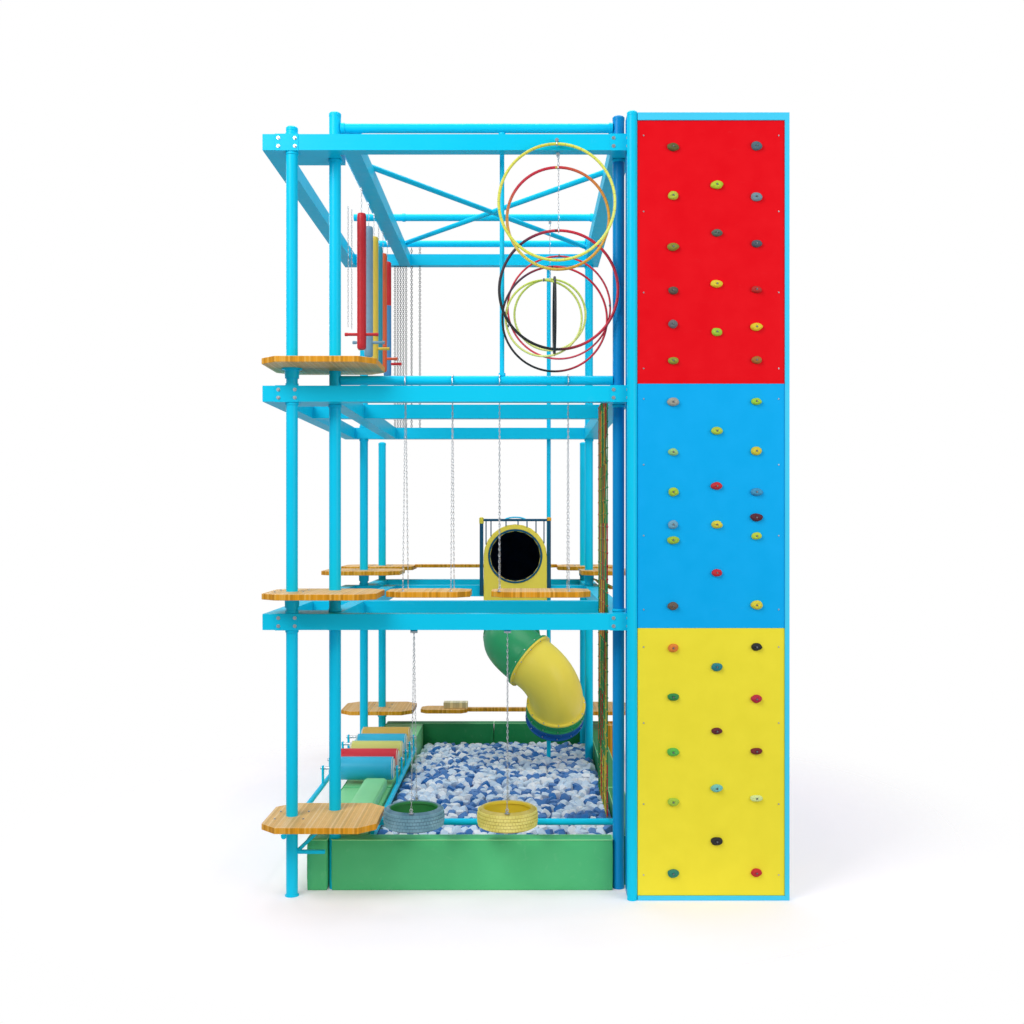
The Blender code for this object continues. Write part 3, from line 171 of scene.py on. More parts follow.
class Finish:
    """One material, built from nodes that read the piece's own place in space."""

    made = {}

    def __init__(self, name):
        self.material = bpy.data.materials.new(name)
        self.material.use_nodes = True
        self.tree = self.material.node_tree
        self.surface = self.tree.nodes["Principled BSDF"]
        Finish.made[name] = self.material

    def add(self, kind, **settings):
        node = self.tree.nodes.new("ShaderNode" + kind)
        for key, value in settings.items():
            setattr(node, key, value)
        return node

    def give(self, socket, value):
        """Links or sets one input."""
        if isinstance(value, bpy.types.NodeSocket):
            self.tree.links.new(value, socket)
        elif isinstance(value, (tuple, list)) and len(socket.default_value) == 4:
            socket.default_value = (*value[:3], 1.0)
        elif value is not None:
            socket.default_value = value

    def place(self, stretch=(1.0, 1.0, 1.0)):
        mapping = self.add("Mapping")
        mapping.inputs["Scale"].default_value = stretch
        self.give(mapping.inputs["Vector"], self.add("TexCoord").outputs["Object"])
        return mapping.outputs["Vector"]

    def axes(self):
        """The piece's own place, as X, Y and Z."""
        split = self.add("SeparateXYZ")
        self.give(split.inputs["Vector"], self.add("TexCoord").outputs["Object"])
        return split.outputs

    def point_value(self, name):
        return self.add("Attribute", attribute_name=name, attribute_type="GEOMETRY").outputs

    def noise(self, scale, detail=3.0, stretch=(1.0, 1.0, 1.0), distortion=0.0):
        node = self.add("TexNoise")
        node.inputs["Scale"].default_value = scale
        node.inputs["Detail"].default_value = detail
        node.inputs["Distortion"].default_value = distortion
        self.give(node.inputs["Vector"], self.place(stretch))
        return node.outputs["Fac"]

    def cells(self, scale, feature="F1"):
        node = self.add("TexVoronoi", feature=feature)
        node.inputs["Scale"].default_value = scale
        self.give(node.inputs["Vector"], self.place())
        return node.outputs["Distance"]

    def maths(self, operation, *values):
        node = self.add("Math", operation=operation)
        for socket, value in zip(node.inputs, values):
            self.give(socket, value)
        return node.outputs[0]

    def ramp(self, factor, stops, blend="LINEAR"):
        node = self.add("ValToRGB")
        scale = node.color_ramp
        scale.interpolation = blend
        while len(scale.elements) < len(stops):
            scale.elements.new(0.5)
        for element, (spot, tone) in zip(scale.elements, stops):
            element.position = spot
            element.color = (*tone, 1.0)
        self.give(node.inputs["Fac"], factor)
        return node.outputs["Color"]

    def mask(self, factor, low, high, peak=1.0):
        """Black up to the low value, and grey of the peak's value from the high one."""
        return self.ramp(factor, [(low, BLACK), (high, (peak, peak, peak))])

    def mix(self, factor, first, second, how="MIX"):
        node = self.add("Mix", data_type="RGBA", blend_type=how)
        for index, value in ((0, factor), (6, first), (7, second)):
            self.give(node.inputs[index], value)
        return node.outputs[2]

    def paint(self, tone):
        self.give(self.surface.inputs["Base Color"], tone)

    def dull(self, factor, low, high):
        """Roughness between two values."""
        span = self.add("MapRange")
        for name, value in (("Value", factor), ("To Min", low), ("To Max", high)):
            self.give(span.inputs[name], value)
        self.give(self.surface.inputs["Roughness"], span.outputs["Result"])

    def bump(self, height, strength, distance, under=None):
        node = self.add("Bump")
        for name, value in (("Strength", strength), ("Distance", distance), ("Height", height)):
            self.give(node.inputs[name], value)
        if under is not None:
            self.give(node.inputs["Normal"], under)
        self.give(self.surface.inputs["Normal"], node.outputs["Normal"])
        return node.outputs["Normal"]

    def set(self, **values):
        for key, value in values.items():
            self.surface.inputs[key.replace("_", " ")].default_value = value


def shade(base, factor):
    return tuple(min(1.0, max(0.0, v * factor)) for v in base)


def toward(base, other, share):
    return tuple(a + (b - a) * share for a, b in zip(base, other))


def painted_steel(name, base, roughness=0.28):
    """Powder-coated steel: faint orange peel, slow drift of tone, pale patches of dust and scuffs
    at random.
    """
    f = Finish(name)
    drift = f.noise(0.9, 3.0)
    tone = f.ramp(drift, [(0.3, shade(base, 0.96)), (0.7, toward(base, WHITE, 0.003))])
    scuffs = f.noise(9.0, 8.0, distortion=1.2)
    worn = f.maths("MULTIPLY", f.mask(scuffs, 0.66, 0.74), 0.03)
    f.paint(f.mix(worn, tone, toward(base, (0.8, 0.85, 0.88), 0.3)))
    f.dull(scuffs, roughness - 0.06, roughness + 0.16)
    f.bump(f.noise(160.0, 2.0), 0.06, 0.002)
    f.set(Coat_Weight=0.02, Coat_Roughness=0.2, Specular_IOR_Level=0.12)


def laminated_wood(name, top, edge, strip):
    """Strips of wood glued side by side: grain along each strip, lacquer on the edges."""
    f = Finish(name)
    across = f.maths("DIVIDE", f.axes()["X"], strip)
    joint = f.maths("FRACT", across)
    pick = f.add("TexWhiteNoise", noise_dimensions="1D")
    f.give(pick.inputs["W"], f.maths("FLOOR", across))
    pick = pick.outputs["Value"]
    grain = f.noise(26.0, 8.0, stretch=(4.0, 0.35, 4.0), distortion=0.4)
    fine = f.noise(150.0, 4.0, stretch=(3.0, 0.08, 3.0))
    bright = toward(top, (1, 0.9, 0.7), 0.22)
    face = f.ramp(pick, [(0.0, shade(top, 0.80)), (0.5, top), (1.0, bright)])
    face = f.mix(f.maths("MULTIPLY", grain, 0.30), face, shade(top, 0.70), "MULTIPLY")
    face = f.mix(f.mask(fine, 0.50, 0.70, 0.45), face, shade(top, 0.55))
    bright = toward(edge, (1, 0.85, 0.3), 0.2)
    side = f.ramp(pick, [(0.0, shade(edge, 0.62)), (0.5, edge), (1.0, bright)])
    side = f.mix(f.maths("MULTIPLY", fine, 0.35), side, shade(edge, 0.45))
    facing = f.add("SeparateXYZ")
    f.give(facing.inputs["Vector"], f.add("NewGeometry").outputs["Normal"])
    up = f.maths("ABSOLUTE", facing.outputs["Z"])
    body = f.mix(f.mask(up, 0.45, 0.70), side, face)
    seam = f.ramp(joint, [(0.0, WHITE), (0.06, BLACK), (0.94, BLACK), (1.0, WHITE)])
    f.paint(f.mix(f.maths("MULTIPLY", seam, 0.55), body, shade(edge, 0.30)))
    f.dull(grain, 0.34, 0.52)
    f.bump(f.maths("SUBTRACT", grain, f.maths("MULTIPLY", seam, 0.8)), 0.25, 0.002)
    f.set(Coat_Weight=0.05, Coat_Roughness=0.25, Specular_IOR_Level=0.2)


def moulded_plastic(name, base, roughness=0.32, clear=0.08):
    """Rotation-moulded plastic: soft mottling, fine grain and long faint scuffs."""
    f = Finish(name)
    mottle = f.noise(5.0, 5.0)
    tone = f.ramp(mottle, [(0.3, shade(base, 0.96)), (0.7, toward(base, WHITE, 0.003))])
    rubbed = f.noise(14.0, 6.0, stretch=(0.3, 2.0, 2.0), distortion=2.0)
    marks = f.maths("MULTIPLY", f.mask(rubbed, 0.64, 0.72), 0.02)
    f.paint(f.mix(marks, tone, toward(base, (0.9, 0.9, 0.9), 0.3)))
    f.dull(rubbed, roughness - 0.05, roughness + 0.2)
    f.bump(f.noise(240.0, 3.0), 0.08, 0.001)
    f.set(Coat_Weight=clear, Coat_Roughness=0.15, Specular_IOR_Level=0.10 + 2.0 * clear)


def vinyl(name, base, roughness=0.42):
    """Coated fabric: a pebbled skin, soft creases and rubbed patches."""
    f = Finish(name)
    drift = f.noise(2.2, 4.0)
    tone = f.ramp(drift, [(0.3, shade(base, 0.94)), (0.7, toward(base, WHITE, 0.012))])
    rub = f.noise(11.0, 7.0, distortion=0.8)
    f.paint(f.mix(f.mask(rub, 0.60, 0.75, 0.07), tone, toward(base, WHITE, 0.4)))
    f.dull(rub, roughness - 0.06, roughness + 0.14)
    pebble = f.bump(f.cells(520.0, "SMOOTH_F1"), 0.22, 0.0006)
    f.bump(f.noise(7.0, 3.0), 0.18, 0.006, under=pebble)
    f.set(Coat_Weight=0.06, Coat_Roughness=0.3, Specular_IOR_Level=0.35)


def open_foam(name, base):
    """Cut foam: open pores, painted darker as the shade inside them, and a chalky face."""
    f = Finish(name)
    drift = f.noise(3.0, 3.0)
    tone = f.ramp(drift, [(0.35, shade(base, 0.90)), (0.65, toward(base, WHITE, 0.10))])
    pores = f.cells(240.0)
    # Painted shade: each pore darkens towards its middle
    depth = f.ramp(pores, [(0.10, (0.35, 0.35, 0.35)), (0.45, BLACK)])
    f.paint(f.mix(depth, tone, shade(base, 0.6)))
    f.set(Roughness=0.95, Sheen_Weight=0.25)
    f.bump(pores, 0.4, 0.003)


def tyre_rubber(name, base, inner):
    """Painted rubber: outside colour, another inside the hole. The body's colour is darker than
    the tread's, as painted shade in the grooves between the tread blocks.
    """
    f = Finish(name)
    drift = f.noise(6.0, 6.0)
    outer = f.ramp(drift, [(0.3, shade(base, 0.72)), (0.7, toward(base, (0.9, 0.95, 0.9), 0.16))])
    f.paint(f.mix(f.point_value("inside")["Fac"], outer, inner))
    f.dull(drift, 0.5, 0.8)
    f.bump(f.noise(90.0, 5.0), 0.25, 0.002)


def bare_metal(name, base=(0.42, 0.43, 0.45), roughness=0.34):
    """Zinc-plated steel with a fine crystal pattern."""
    f = Finish(name)
    f.paint(f.ramp(f.cells(140.0), [(0.1, shade(base, 0.7)), (0.6, toward(base, WHITE, 0.25))]))
    f.dull(f.noise(40.0, 4.0), roughness - 0.08, roughness + 0.16)
    f.bump(f.noise(300.0, 3.0), 0.1, 0.0005)
    f.set(Metallic=1.0)


def resin_hold(name):
    """Cast resin with sand in it. Its colour is the piece's own attribute."""
    f = Finish(name)
    grit = f.noise(180.0, 5.0)
    sand = f.ramp(grit, [(0.35, (0.35, 0.35, 0.35)), (0.60, BLACK)])
    f.paint(f.mix(sand, f.point_value("shade")["Color"], (0.02, 0.02, 0.02)))
    f.set(Roughness=0.72)
    f.bump(grit, 0.35, 0.0015)


def banded_tape(name, stops, bands=44.0):
    """Cloth tape wound round a hoop: turns of tape, and colours that change along the hoop."""
    f = Finish(name)
    turn = f.point_value("turn")["Fac"]
    lap = f.maths("FRACT", f.maths("MULTIPLY", turn, bands))
    weave = f.noise(420.0, 2.0)
    overlap = f.ramp(lap, [(0.0, (0.5, 0.5, 0.5)), (0.10, BLACK)])
    f.paint(f.mix(overlap, f.ramp(turn, stops), (0.03, 0.03, 0.03)))
    f.dull(weave, 0.4, 0.6)
    height = f.maths("ADD", f.maths("MULTIPLY", lap, 0.8), f.maths("MULTIPLY", weave, 0.3))
    f.bump(height, 0.4, 0.001)


def net_rope(name):
    """Laid rope, each length in one of five colours, with painted shade across the grooves between
    its strands.
    """
    f = Finish(name)
    place = f.axes()
    spot = f.add("CombineXYZ")
    for target, source, step in (("X", "Y", 0.067), ("Y", "Z", 0.62)):
        f.give(spot.inputs[target], f.maths("FLOOR", f.maths("DIVIDE", place[source], step)))
    pick = f.add("TexWhiteNoise", noise_dimensions="2D")
    f.give(pick.inputs["Vector"], spot.outputs["Vector"])
    dyes = [
        (0.00, colour(186, 30, 44)),
        (0.30, colour(40, 128, 64)),
        (0.58, colour(196, 176, 60)),
        (0.76, colour(60, 150, 90)),
        (0.90, colour(206, 92, 40)),
    ]
    base = f.ramp(pick.outputs["Value"], dyes, "CONSTANT")
    strand = f.maths("SINE", f.maths("MULTIPLY", f.maths("ADD", place["Z"], place["Y"]), 900.0))
    # Painted shade: half of each twist darkens, for the grooves between the strands
    groove_shade = f.maths("MULTIPLY", f.maths("MAXIMUM", strand, 0.0), 0.3)
    f.paint(f.mix(groove_shade, base, (0.05, 0.05, 0.05), "MULTIPLY"))
    f.set(Roughness=0.85)
    f.bump(strand, 0.4, 0.001)


def inner_shade_finish(name, base):
    """Painted shade for the inside of the slide's tube: a dark skin, a little glossy."""
    f = Finish(name)
    drift = f.noise(4.0, 4.0)
    f.paint(f.ramp(drift, [(0.3, shade(base, 0.7)), (0.7, shade(base, 1.3))]))
    f.dull(drift, 0.3, 0.5)
    f.bump(f.noise(120.0, 3.0), 0.08, 0.001)


VINYL_TINTS = {
    "pit_light": (140, 220, 150),
    "roller_blue": (36, 178, 214),
    "roller_red": (214, 16, 40),
    "roller_lime": (216, 212, 112),
    "roller_tan": (222, 176, 78),
    "roller_end": (240, 236, 214),
    "pole_red": (214, 26, 34),
    "pole_grey": (126, 160, 178),
    "pole_yellow": (236, 198, 66),
    "pole_orange": (236, 96, 44),
    "pole_teal": (40, 150, 168),
    "pole_blue": (70, 140, 190),
}
# Outside and inside colours. Each body is darker than its tread: painted shade for the grooves
# between the tread blocks
RUBBERS = {
    "tyre_teal_rubber": ((66, 118, 140), (8, 110, 40)),
    "tyre_yellow_rubber": ((206, 180, 50), (206, 176, 10)),
    "tyre_teal_tread": ((92, 152, 172), (92, 152, 172)),
    "tyre_yellow_tread": ((246, 228, 96), (246, 228, 96)),
}
LIME, RED, INK = (224, 224, 84), (206, 30, 56), (18, 20, 22)
GOLD, PLUM = (222, 158, 40), (70, 24, 60)
TAPES = {
    "tape_yellow": [(0.0, LIME), (0.30, (232, 232, 110)), (0.60, LIME), (1.0, (214, 206, 70))],
    "tape_gold_red": [(0.0, RED), (0.22, GOLD), (0.46, GOLD), (0.60, (232, 220, 90)), (0.85, RED)],
    "tape_lime": [(0.0, (200, 216, 84)), (0.5, (232, 236, 140)), (1.0, (190, 208, 70))],
    "tape_red_black": [
        (0.0, RED), (0.42, RED), (0.50, INK), (0.74, INK), (0.90, PLUM), (1.0, RED),
    ],
    "tape_red": [(0.0, RED), (0.5, (224, 70, 90)), (1.0, RED)],
}


def make_finishes(paints, sizes):
    """Every material, once, by its name."""
    painted_steel("frame_paint", paints.frame_blue)
    # Painted shade: the frame blue as it looks in the wall's shadow
    painted_steel("deep_paint", paints.deep_blue)
    painted_steel("trim_paint", paints.trim_cyan)
    painted_steel("guard_paint", paints.guard_teal, 0.34)
    painted_steel("cap_orange", colour(240, 170, 40))
    painted_steel("cap_yellow", colour(232, 210, 70))
    laminated_wood("board_wood", paints.board_top, paints.board_edge, sizes.strip_width)
    laminated_wood("pale_wood", colour(252, 238, 198), colour(252, 228, 170), 0.05)
    for tint in ("red", "blue", "yellow"):
        moulded_plastic(f"panel_{tint}", getattr(paints, f"wall_{tint}"), 0.5, 0.0)
    for tint in ("green", "yellow", "blue"):
        moulded_plastic(f"slide_{tint}_plastic", getattr(paints, f"slide_{tint}"))
    # Painted shade: the inside of the slide's tube is painted dark
    inner_shade_finish("slide_inside", colour(26, 44, 66))
    vinyl("pit_vinyl", paints.pit_green)
    # Painted shade for the pit's inner walls
    vinyl("pit_deep_vinyl", paints.pit_deep)
    for name, tint in VINYL_TINTS.items():
        vinyl(name + "_vinyl", colour(*tint))
    open_foam("foam_pale_cut", paints.foam_pale)
    open_foam("foam_blue_cut", paints.foam_blue)
    open_foam("foam_white_cut", colour(246, 247, 252))
    # Painted shade: the bed under the blocks is a darker copy of the blue foam, for the shade in
    # the gaps between them
    open_foam("foam_base_cut", shade(paints.foam_blue, 0.8))
    for name, (base, inner) in RUBBERS.items():
        tyre_rubber(name, colour(*base), colour(*inner))
    bare_metal("chain_zinc")
    bare_metal("bolt_zinc", (0.55, 0.56, 0.58), 0.28)
    bare_metal("dark_steel", (0.06, 0.06, 0.07), 0.45)
    resin_hold("hold_resin")
    net_rope("net_rope")
    for name, stops in TAPES.items():
        banded_tape(name, [(spot, colour(*tint)) for spot, tint in stops])
    ink = colour(*INK)
    banded_tape("tape_black", [(0.0, ink), (0.5, shade(ink, 2.0)), (1.0, ink)])


# Shapes

BOX_SIDES = ((0, 1, 3, 2), (4, 6, 7, 5), (0, 4, 5, 1), (2, 3, 7, 6), (0, 2, 6, 4), (1, 5, 7, 3))
LEAST_RADIUS = 1e-4
SAME_POINT = 1e-5


def turns(count):
    """Angles round a full circle."""
    return [2 * math.pi * k / count for k in range(count)]


def circle(centre, radius, count, first=(0, 1, 0), second=(0, 0, 1)):
    """Points round a circle, from the first direction towards the second."""
    centre, first, second = Vector(centre), Vector(first), Vector(second)
    return [centre + radius * (math.cos(a) * first + math.sin(a) * second) for a in turns(count)]


def band(start, end, radius, wall):
    """The profile of a plain sleeve."""
    return [(start, radius), (start, radius + wall), (end, radius + wall), (end, radius)]


def rounded(points, bend, steps=8):
    """Corner points joined by straight runs, with each inner corner rounded to the bend."""
    corners = [Vector(p) for p in points]
    path = [corners[0]]
    for before, corner, after in zip(corners, corners[1:], corners[2:]):
        into = (corner - before).normalized()
        out = (after - corner).normalized()
        turn = into.angle(out)
        if turn < 1e-3:
            path.append(corner)
            continue
        start = corner - into * bend * math.tan(turn / 2)
        centre = start + (out - into * into.dot(out)).normalized() * bend
        axis = into.cross(out)
        arms = (Matrix.Rotation(turn * k / steps, 3, axis) for k in range(steps + 1))
        path += [centre + arm @ (start - centre) for arm in arms]
    path.append(corners[-1])
    return path


class Shape:
    """The faces of one piece, gathered in tower coordinates."""

    def __init__(self, sides=40):
        self.sides = sides
        self.points = []
        self.faces = []
        self.slots = []
        self.values = []

    def add(self, points, faces, slot=0, values=None):
        start = len(self.points)
        self.points += [Vector(p) for p in points]
        self.faces += [[start + i for i in face] for face in faces]
        self.slots += [slot] * len(faces)
        self.values += values or [0.0] * len(points)

    def rings(self, rings, slot=0, closed=False, caps=True, values=None):
        """Skins a row of rings that have the same count of points."""
        count = len(rings[0])
        points = [p for ring in rings for p in ring]
        faces = []
        steps = [(k, (k + 1) % count) for k in range(count)]
        for i in range(len(rings) if closed else len(rings) - 1):
            a, b = i * count, ((i + 1) % len(rings)) * count
            faces += [(a + k, a + n, b + n, b + k) for k, n in steps]
        if caps and not closed:
            faces += [tuple(range(count)), tuple(range(len(points) - count, len(points)))]
        held = [v for v in values for _ in range(count)] if values else None
        self.add(points, faces, slot, held)

    def tube(self, path, radii, slot=0, sides=None, closed=False, values=None, caps=True):
        """A round bar or hose along a path. radii is one radius, or one for each point."""
        sides = sides or self.sides
        points = [Vector(p) for p in path]
        if not isinstance(radii, (list, tuple)):
            radii = [radii] * len(points)
        tangents = []
        for i, point in enumerate(points):
            before = next((p for p in reversed(points[:i]) if (p - point).length > 1e-6), None)
            after = next((p for p in points[i + 1 :] if (p - point).length > 1e-6), None)
            if closed:
                before, after = points[i - 1], points[(i + 1) % len(points)]
            tangents.append(((after or point) - (before or point)).normalized())
        normal = tangents[0].orthogonal().normalized()
        rings = []
        for i, point in enumerate(points):
            if i:
                normal = tangents[i - 1].rotation_difference(tangents[i]) @ normal
                normal = (normal - normal.dot(tangents[i]) * tangents[i]).normalized()
            rings.append(circle(point, radii[i], sides, normal, tangents[i].cross(normal)))
        self.rings(rings, slot, closed, caps, values)

    def loop(self, centre, radius, wire, slot=0, count=16, sides=8, first=(0, 1, 0)):
        """A closed upright ring of wire."""
        self.tube(circle(centre, radius, count, first), wire, slot, sides, closed=True)

    def lathe(self, origin, axis, profile, slot=0, closed=False, values=None):
        """(along, radius) points turned round an axis through the origin."""
        origin = Vector(origin)
        axis = Vector(axis).normalized()
        first = axis.orthogonal().normalized()
        second = axis.cross(first)
        rings = [
            circle(origin + axis * along, max(radius, LEAST_RADIUS), self.sides, first, second)
            for along, radius in profile
        ]
        self.rings(rings, slot, closed, values=values)

    def upright(self, x, y, profile, **options):
        """(height, radius) points turned round an upright axis."""
        self.lathe((x, y, 0.0), (0, 0, 1), profile, **options)

    def box(self, low, high, slot=0):
        columns, rows, levels = zip(low, high)
        corners = [(x, y, z) for x in columns for y in rows for z in levels]
        self.add(corners, BOX_SIDES, slot)

    def slab(self, outline, low, high):
        self.rings([[(x, y, z) for x, y in outline] for z in (low, high)])

    def piece(
        self, name, finishes, body="tower", stands_for=(), takes=None, value_name=None, merge=False
    ):
        """The gathered faces as an object that rides on a body."""
        mesh = bpy.data.meshes.new(name)
        mesh.from_pydata([p + SHIFT for p in self.points], [], self.faces)
        if value_name:
            held = mesh.attributes.new(value_name, "FLOAT", "POINT")
            held.data.foreach_set("value", self.values)
        mesh.polygons.foreach_set("material_index", self.slots)
        clean(mesh, merge)
        return settle(mesh, name, finishes, body, stands_for, takes)


def clean(mesh, merge=False, flatten=False):
    """Merges doubled corners and level faces where asked, and turns every face outward."""
    made = bmesh.new()
    made.from_mesh(mesh)
    if merge:
        bmesh.ops.remove_doubles(made, verts=made.verts, dist=SAME_POINT)
    if flatten:
        level = math.radians(2)
        bmesh.ops.dissolve_limit(made, angle_limit=level, verts=made.verts, edges=made.edges)
    bmesh.ops.recalc_face_normals(made, faces=made.faces)
    made.to_mesh(mesh)
    made.free()


def settle(mesh, name, finishes, body="tower", stands_for=(), takes=None):
    """A mesh in the part's own frame becomes a piece on a body."""
    for finish in finishes:
        mesh.materials.append(Finish.made[finish])
    mesh.shade_smooth()
    mesh.set_sharp_from_angle(angle=SHARP_ANGLE)
    piece = bpy.data.objects.new(name, mesh)
    bpy.context.scene.collection.objects.link(piece)
    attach(piece, body)
    if stands_for:
        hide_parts(*stands_for)
    return piece


def soften(piece, width, segments=3):
    """Rounds a piece's edges."""
    bevel = piece.modifiers.new("edge", "BEVEL")
    bevel.width = width
    bevel.segments = segments
    bevel.limit_method = "ANGLE"
    bevel.angle_limit = math.radians(40)
    bevel.harden_normals = True


def dressed(node, name, finish, takes):
    """A copy of a solid's faces, merged into clean flat faces."""
    mesh = NODES[node].data.copy()
    mesh.materials.clear()
    clean(mesh, merge=True, flatten=True)
    mesh.polygons.foreach_set("material_index", [0] * len(mesh.polygons))
    return settle(mesh, name, [finish], "tower", (node,), takes)


# Patterns of geometry nodes


class Pattern:
    """A geometry node tree with named inputs. It runs once and leaves a plain mesh."""

    def __init__(self, name):
        self.group = bpy.data.node_groups.new(name, "GeometryNodeTree")
        interface = self.group.interface
        for way in ("INPUT", "OUTPUT"):
            interface.new_socket("Geometry", in_out=way, socket_type="NodeSocketGeometry")
        self.source = self.group.nodes.new("NodeGroupInput")
        self.result = self.group.nodes.new("NodeGroupOutput")
        self.asked = {}

    @property
    def base(self):
        return self.source.outputs["Geometry"]

    def ask(self, name, kind, value):
        interface = self.group.interface
        socket = interface.new_socket(name, in_out="INPUT", socket_type="NodeSocket" + kind)
        self.asked[socket.identifier] = value
        return self.source.outputs[name]

    def add(self, kind, inputs=(), **settings):
        """One node's outputs. Inputs are set by name, or by place where names repeat."""
        node = self.group.nodes.new(kind)
        for key, value in settings.items():
            setattr(node, key, value)
        for key, value in dict(inputs).items():
            if isinstance(value, bpy.types.NodeSocket):
                self.group.links.new(value, node.inputs[key])
            else:
                node.inputs[key].default_value = value
        return node.outputs

    def geometry(self, kind, inputs=(), **settings):
        return self.add("GeometryNode" + kind, inputs, **settings)[0]

    def turn(self, kind, inputs=(), **settings):
        return self.add("FunctionNode" + kind, inputs, **settings)[0]

    def maths(self, operation, *values):
        return self.add("ShaderNodeMath", enumerate(values), operation=operation)[0]

    def times(self, value, factor):
        return self.maths("MULTIPLY", value, factor)

    def outward(self):
        """A rotation that takes Z to each point's facing."""
        facing = self.geometry("InputNamedAttribute", {"Name": "facing"}, data_type="FLOAT_VECTOR")
        return self.turn("AlignRotationToVector", {"Vector": facing}, axis="Z")

    def instances(self, points, instance, **inputs):
        inputs = {"Points": points, "Instance": instance, **inputs}
        return self.geometry("InstanceOnPoints", inputs)

    def join(self, *branches):
        node = self.group.nodes.new("GeometryNodeJoinGeometry")
        for branch in reversed(branches):
            self.group.links.new(branch, node.inputs[0])
        return node.outputs[0]

    def finish(self, instances, material):
        """Ends a branch: real faces, then the material."""
        real = self.geometry("RealizeInstances", {0: instances})
        return self.geometry("SetMaterial", {"Geometry": real, "Material": material})

    def run(self, end, name, points, edges=(), faces=(), vectors=None, body="tower", **options):
        """Runs the tree on points, edges or faces. vectors are each point's facing."""
        self.group.links.new(end, self.result.inputs[0])
        mesh = bpy.data.meshes.new(name + "_base")
        mesh.from_pydata([Vector(p) + SHIFT for p in points], list(edges), list(faces))
        if vectors is not None:
            held = mesh.attributes.new("facing", "FLOAT_VECTOR", "POINT")
            held.data.foreach_set("vector", [c for v in vectors for c in v])
        base = bpy.data.objects.new(name + "_base", mesh)
        bpy.context.scene.collection.objects.link(base)
        step = base.modifiers.new("pattern", "NODES")
        step.node_group = self.group
        for identifier, value in self.asked.items():
            step[identifier] = value
        graph = bpy.context.evaluated_depsgraph_get()
        made = bpy.data.meshes.new_from_object(base.evaluated_get(graph), depsgraph=graph)
        bpy.data.objects.remove(base)
        made.name = name
        used = {face.material_index for face in made.polygons}
        for slot in reversed(range(len(made.materials))):
            if made.materials[slot] is None:
                if slot in used:
                    raise ValueError(f"{name} has a face without a material")
                made.materials.pop(index=slot)
        return settle(made, name, (), body, **options)


def chain(sizes, name, runs, body="tower", finish="chain_zinc", heavier=1.0):
    """Round-wire links along straight runs, each link turned a quarter from the last."""
    p = Pattern("chain_links")
    pitch = p.ask("Pitch", "Float", sizes.link_pitch)
    wire = p.ask("Wire", "Float", sizes.link_wire * heavier)
    material = p.ask("Finish", "Material", Finish.made[finish])
    lines = p.geometry("MeshToCurve", {"Mesh": p.base})
    spaced = p.add("GeometryNodeCurveToPoints", {"Curve": lines, "Length": pitch}, mode="LENGTH")
    oval = p.geometry("CurvePrimitiveCircle", {"Resolution": 8, "Radius": 1.0})
    stretch = {"X": p.times(wire, 1.45), "Y": 1.0, "Z": p.times(pitch, 0.62)}
    stretch = p.add("ShaderNodeCombineXYZ", stretch)[0]
    stood = p.geometry("Transform", {"Geometry": oval, "Rotation": (math.pi / 2, 0.0, 0.0)})
    shaped = p.geometry("Transform", {"Geometry": stood, "Scale": stretch})
    section = p.geometry("CurvePrimitiveCircle", {"Resolution": 5, "Radius": p.times(wire, 0.5)})
    link = p.geometry("CurveToMesh", {"Curve": shaped, "Profile Curve": section})
    quarter = p.times(p.maths("MODULO", p.geometry("InputIndex"), 2.0), math.pi / 2)
    along = p.turn("AlignRotationToVector", {"Vector": spaced["Tangent"]}, axis="Z")
    spin = p.turn("AxisAngleToRotation", {"Axis": (0.0, 0.0, 1.0), "Angle": quarter})
    both = p.turn("RotateRotation", {0: along, 1: spin}, rotation_space="LOCAL")
    end = p.finish(p.instances(spaced[0], link, Rotation=both), material)
    points = [place for run in runs for place in run]
    edges = [(k, k + 1) for k in range(0, len(points), 2)]
    p.run(end, name, points, edges, body=body, takes="frame_blue")


def bolt_heads(name, across, placed, finish="bolt_zinc"):
    """Hexagon heads on washers. placed holds a place and a facing for each."""
    p = Pattern("bolt_heads")
    width = p.ask("Across", "Float", across)
    material = p.ask("Finish", "Material", Finish.made[finish])
    head, washer = (
        p.geometry(
            "MeshCylinder",
            {"Vertices": sides, "Radius": p.times(width, wide), "Depth": p.times(width, deep)},
        )
        for sides, wide, deep in ((6, 0.55, 0.6), (14, 0.85, 0.2))
    )
    lift = p.add("ShaderNodeCombineXYZ", {"Z": p.times(width, 0.35)})[0]
    raised = p.geometry("Transform", {"Geometry": head, "Translation": lift})
    heads = p.instances(p.base, p.join(washer, raised), Rotation=p.outward())
    spots, facings = zip(*placed)
    p.run(p.finish(heads, material), name, spots, vectors=facings)


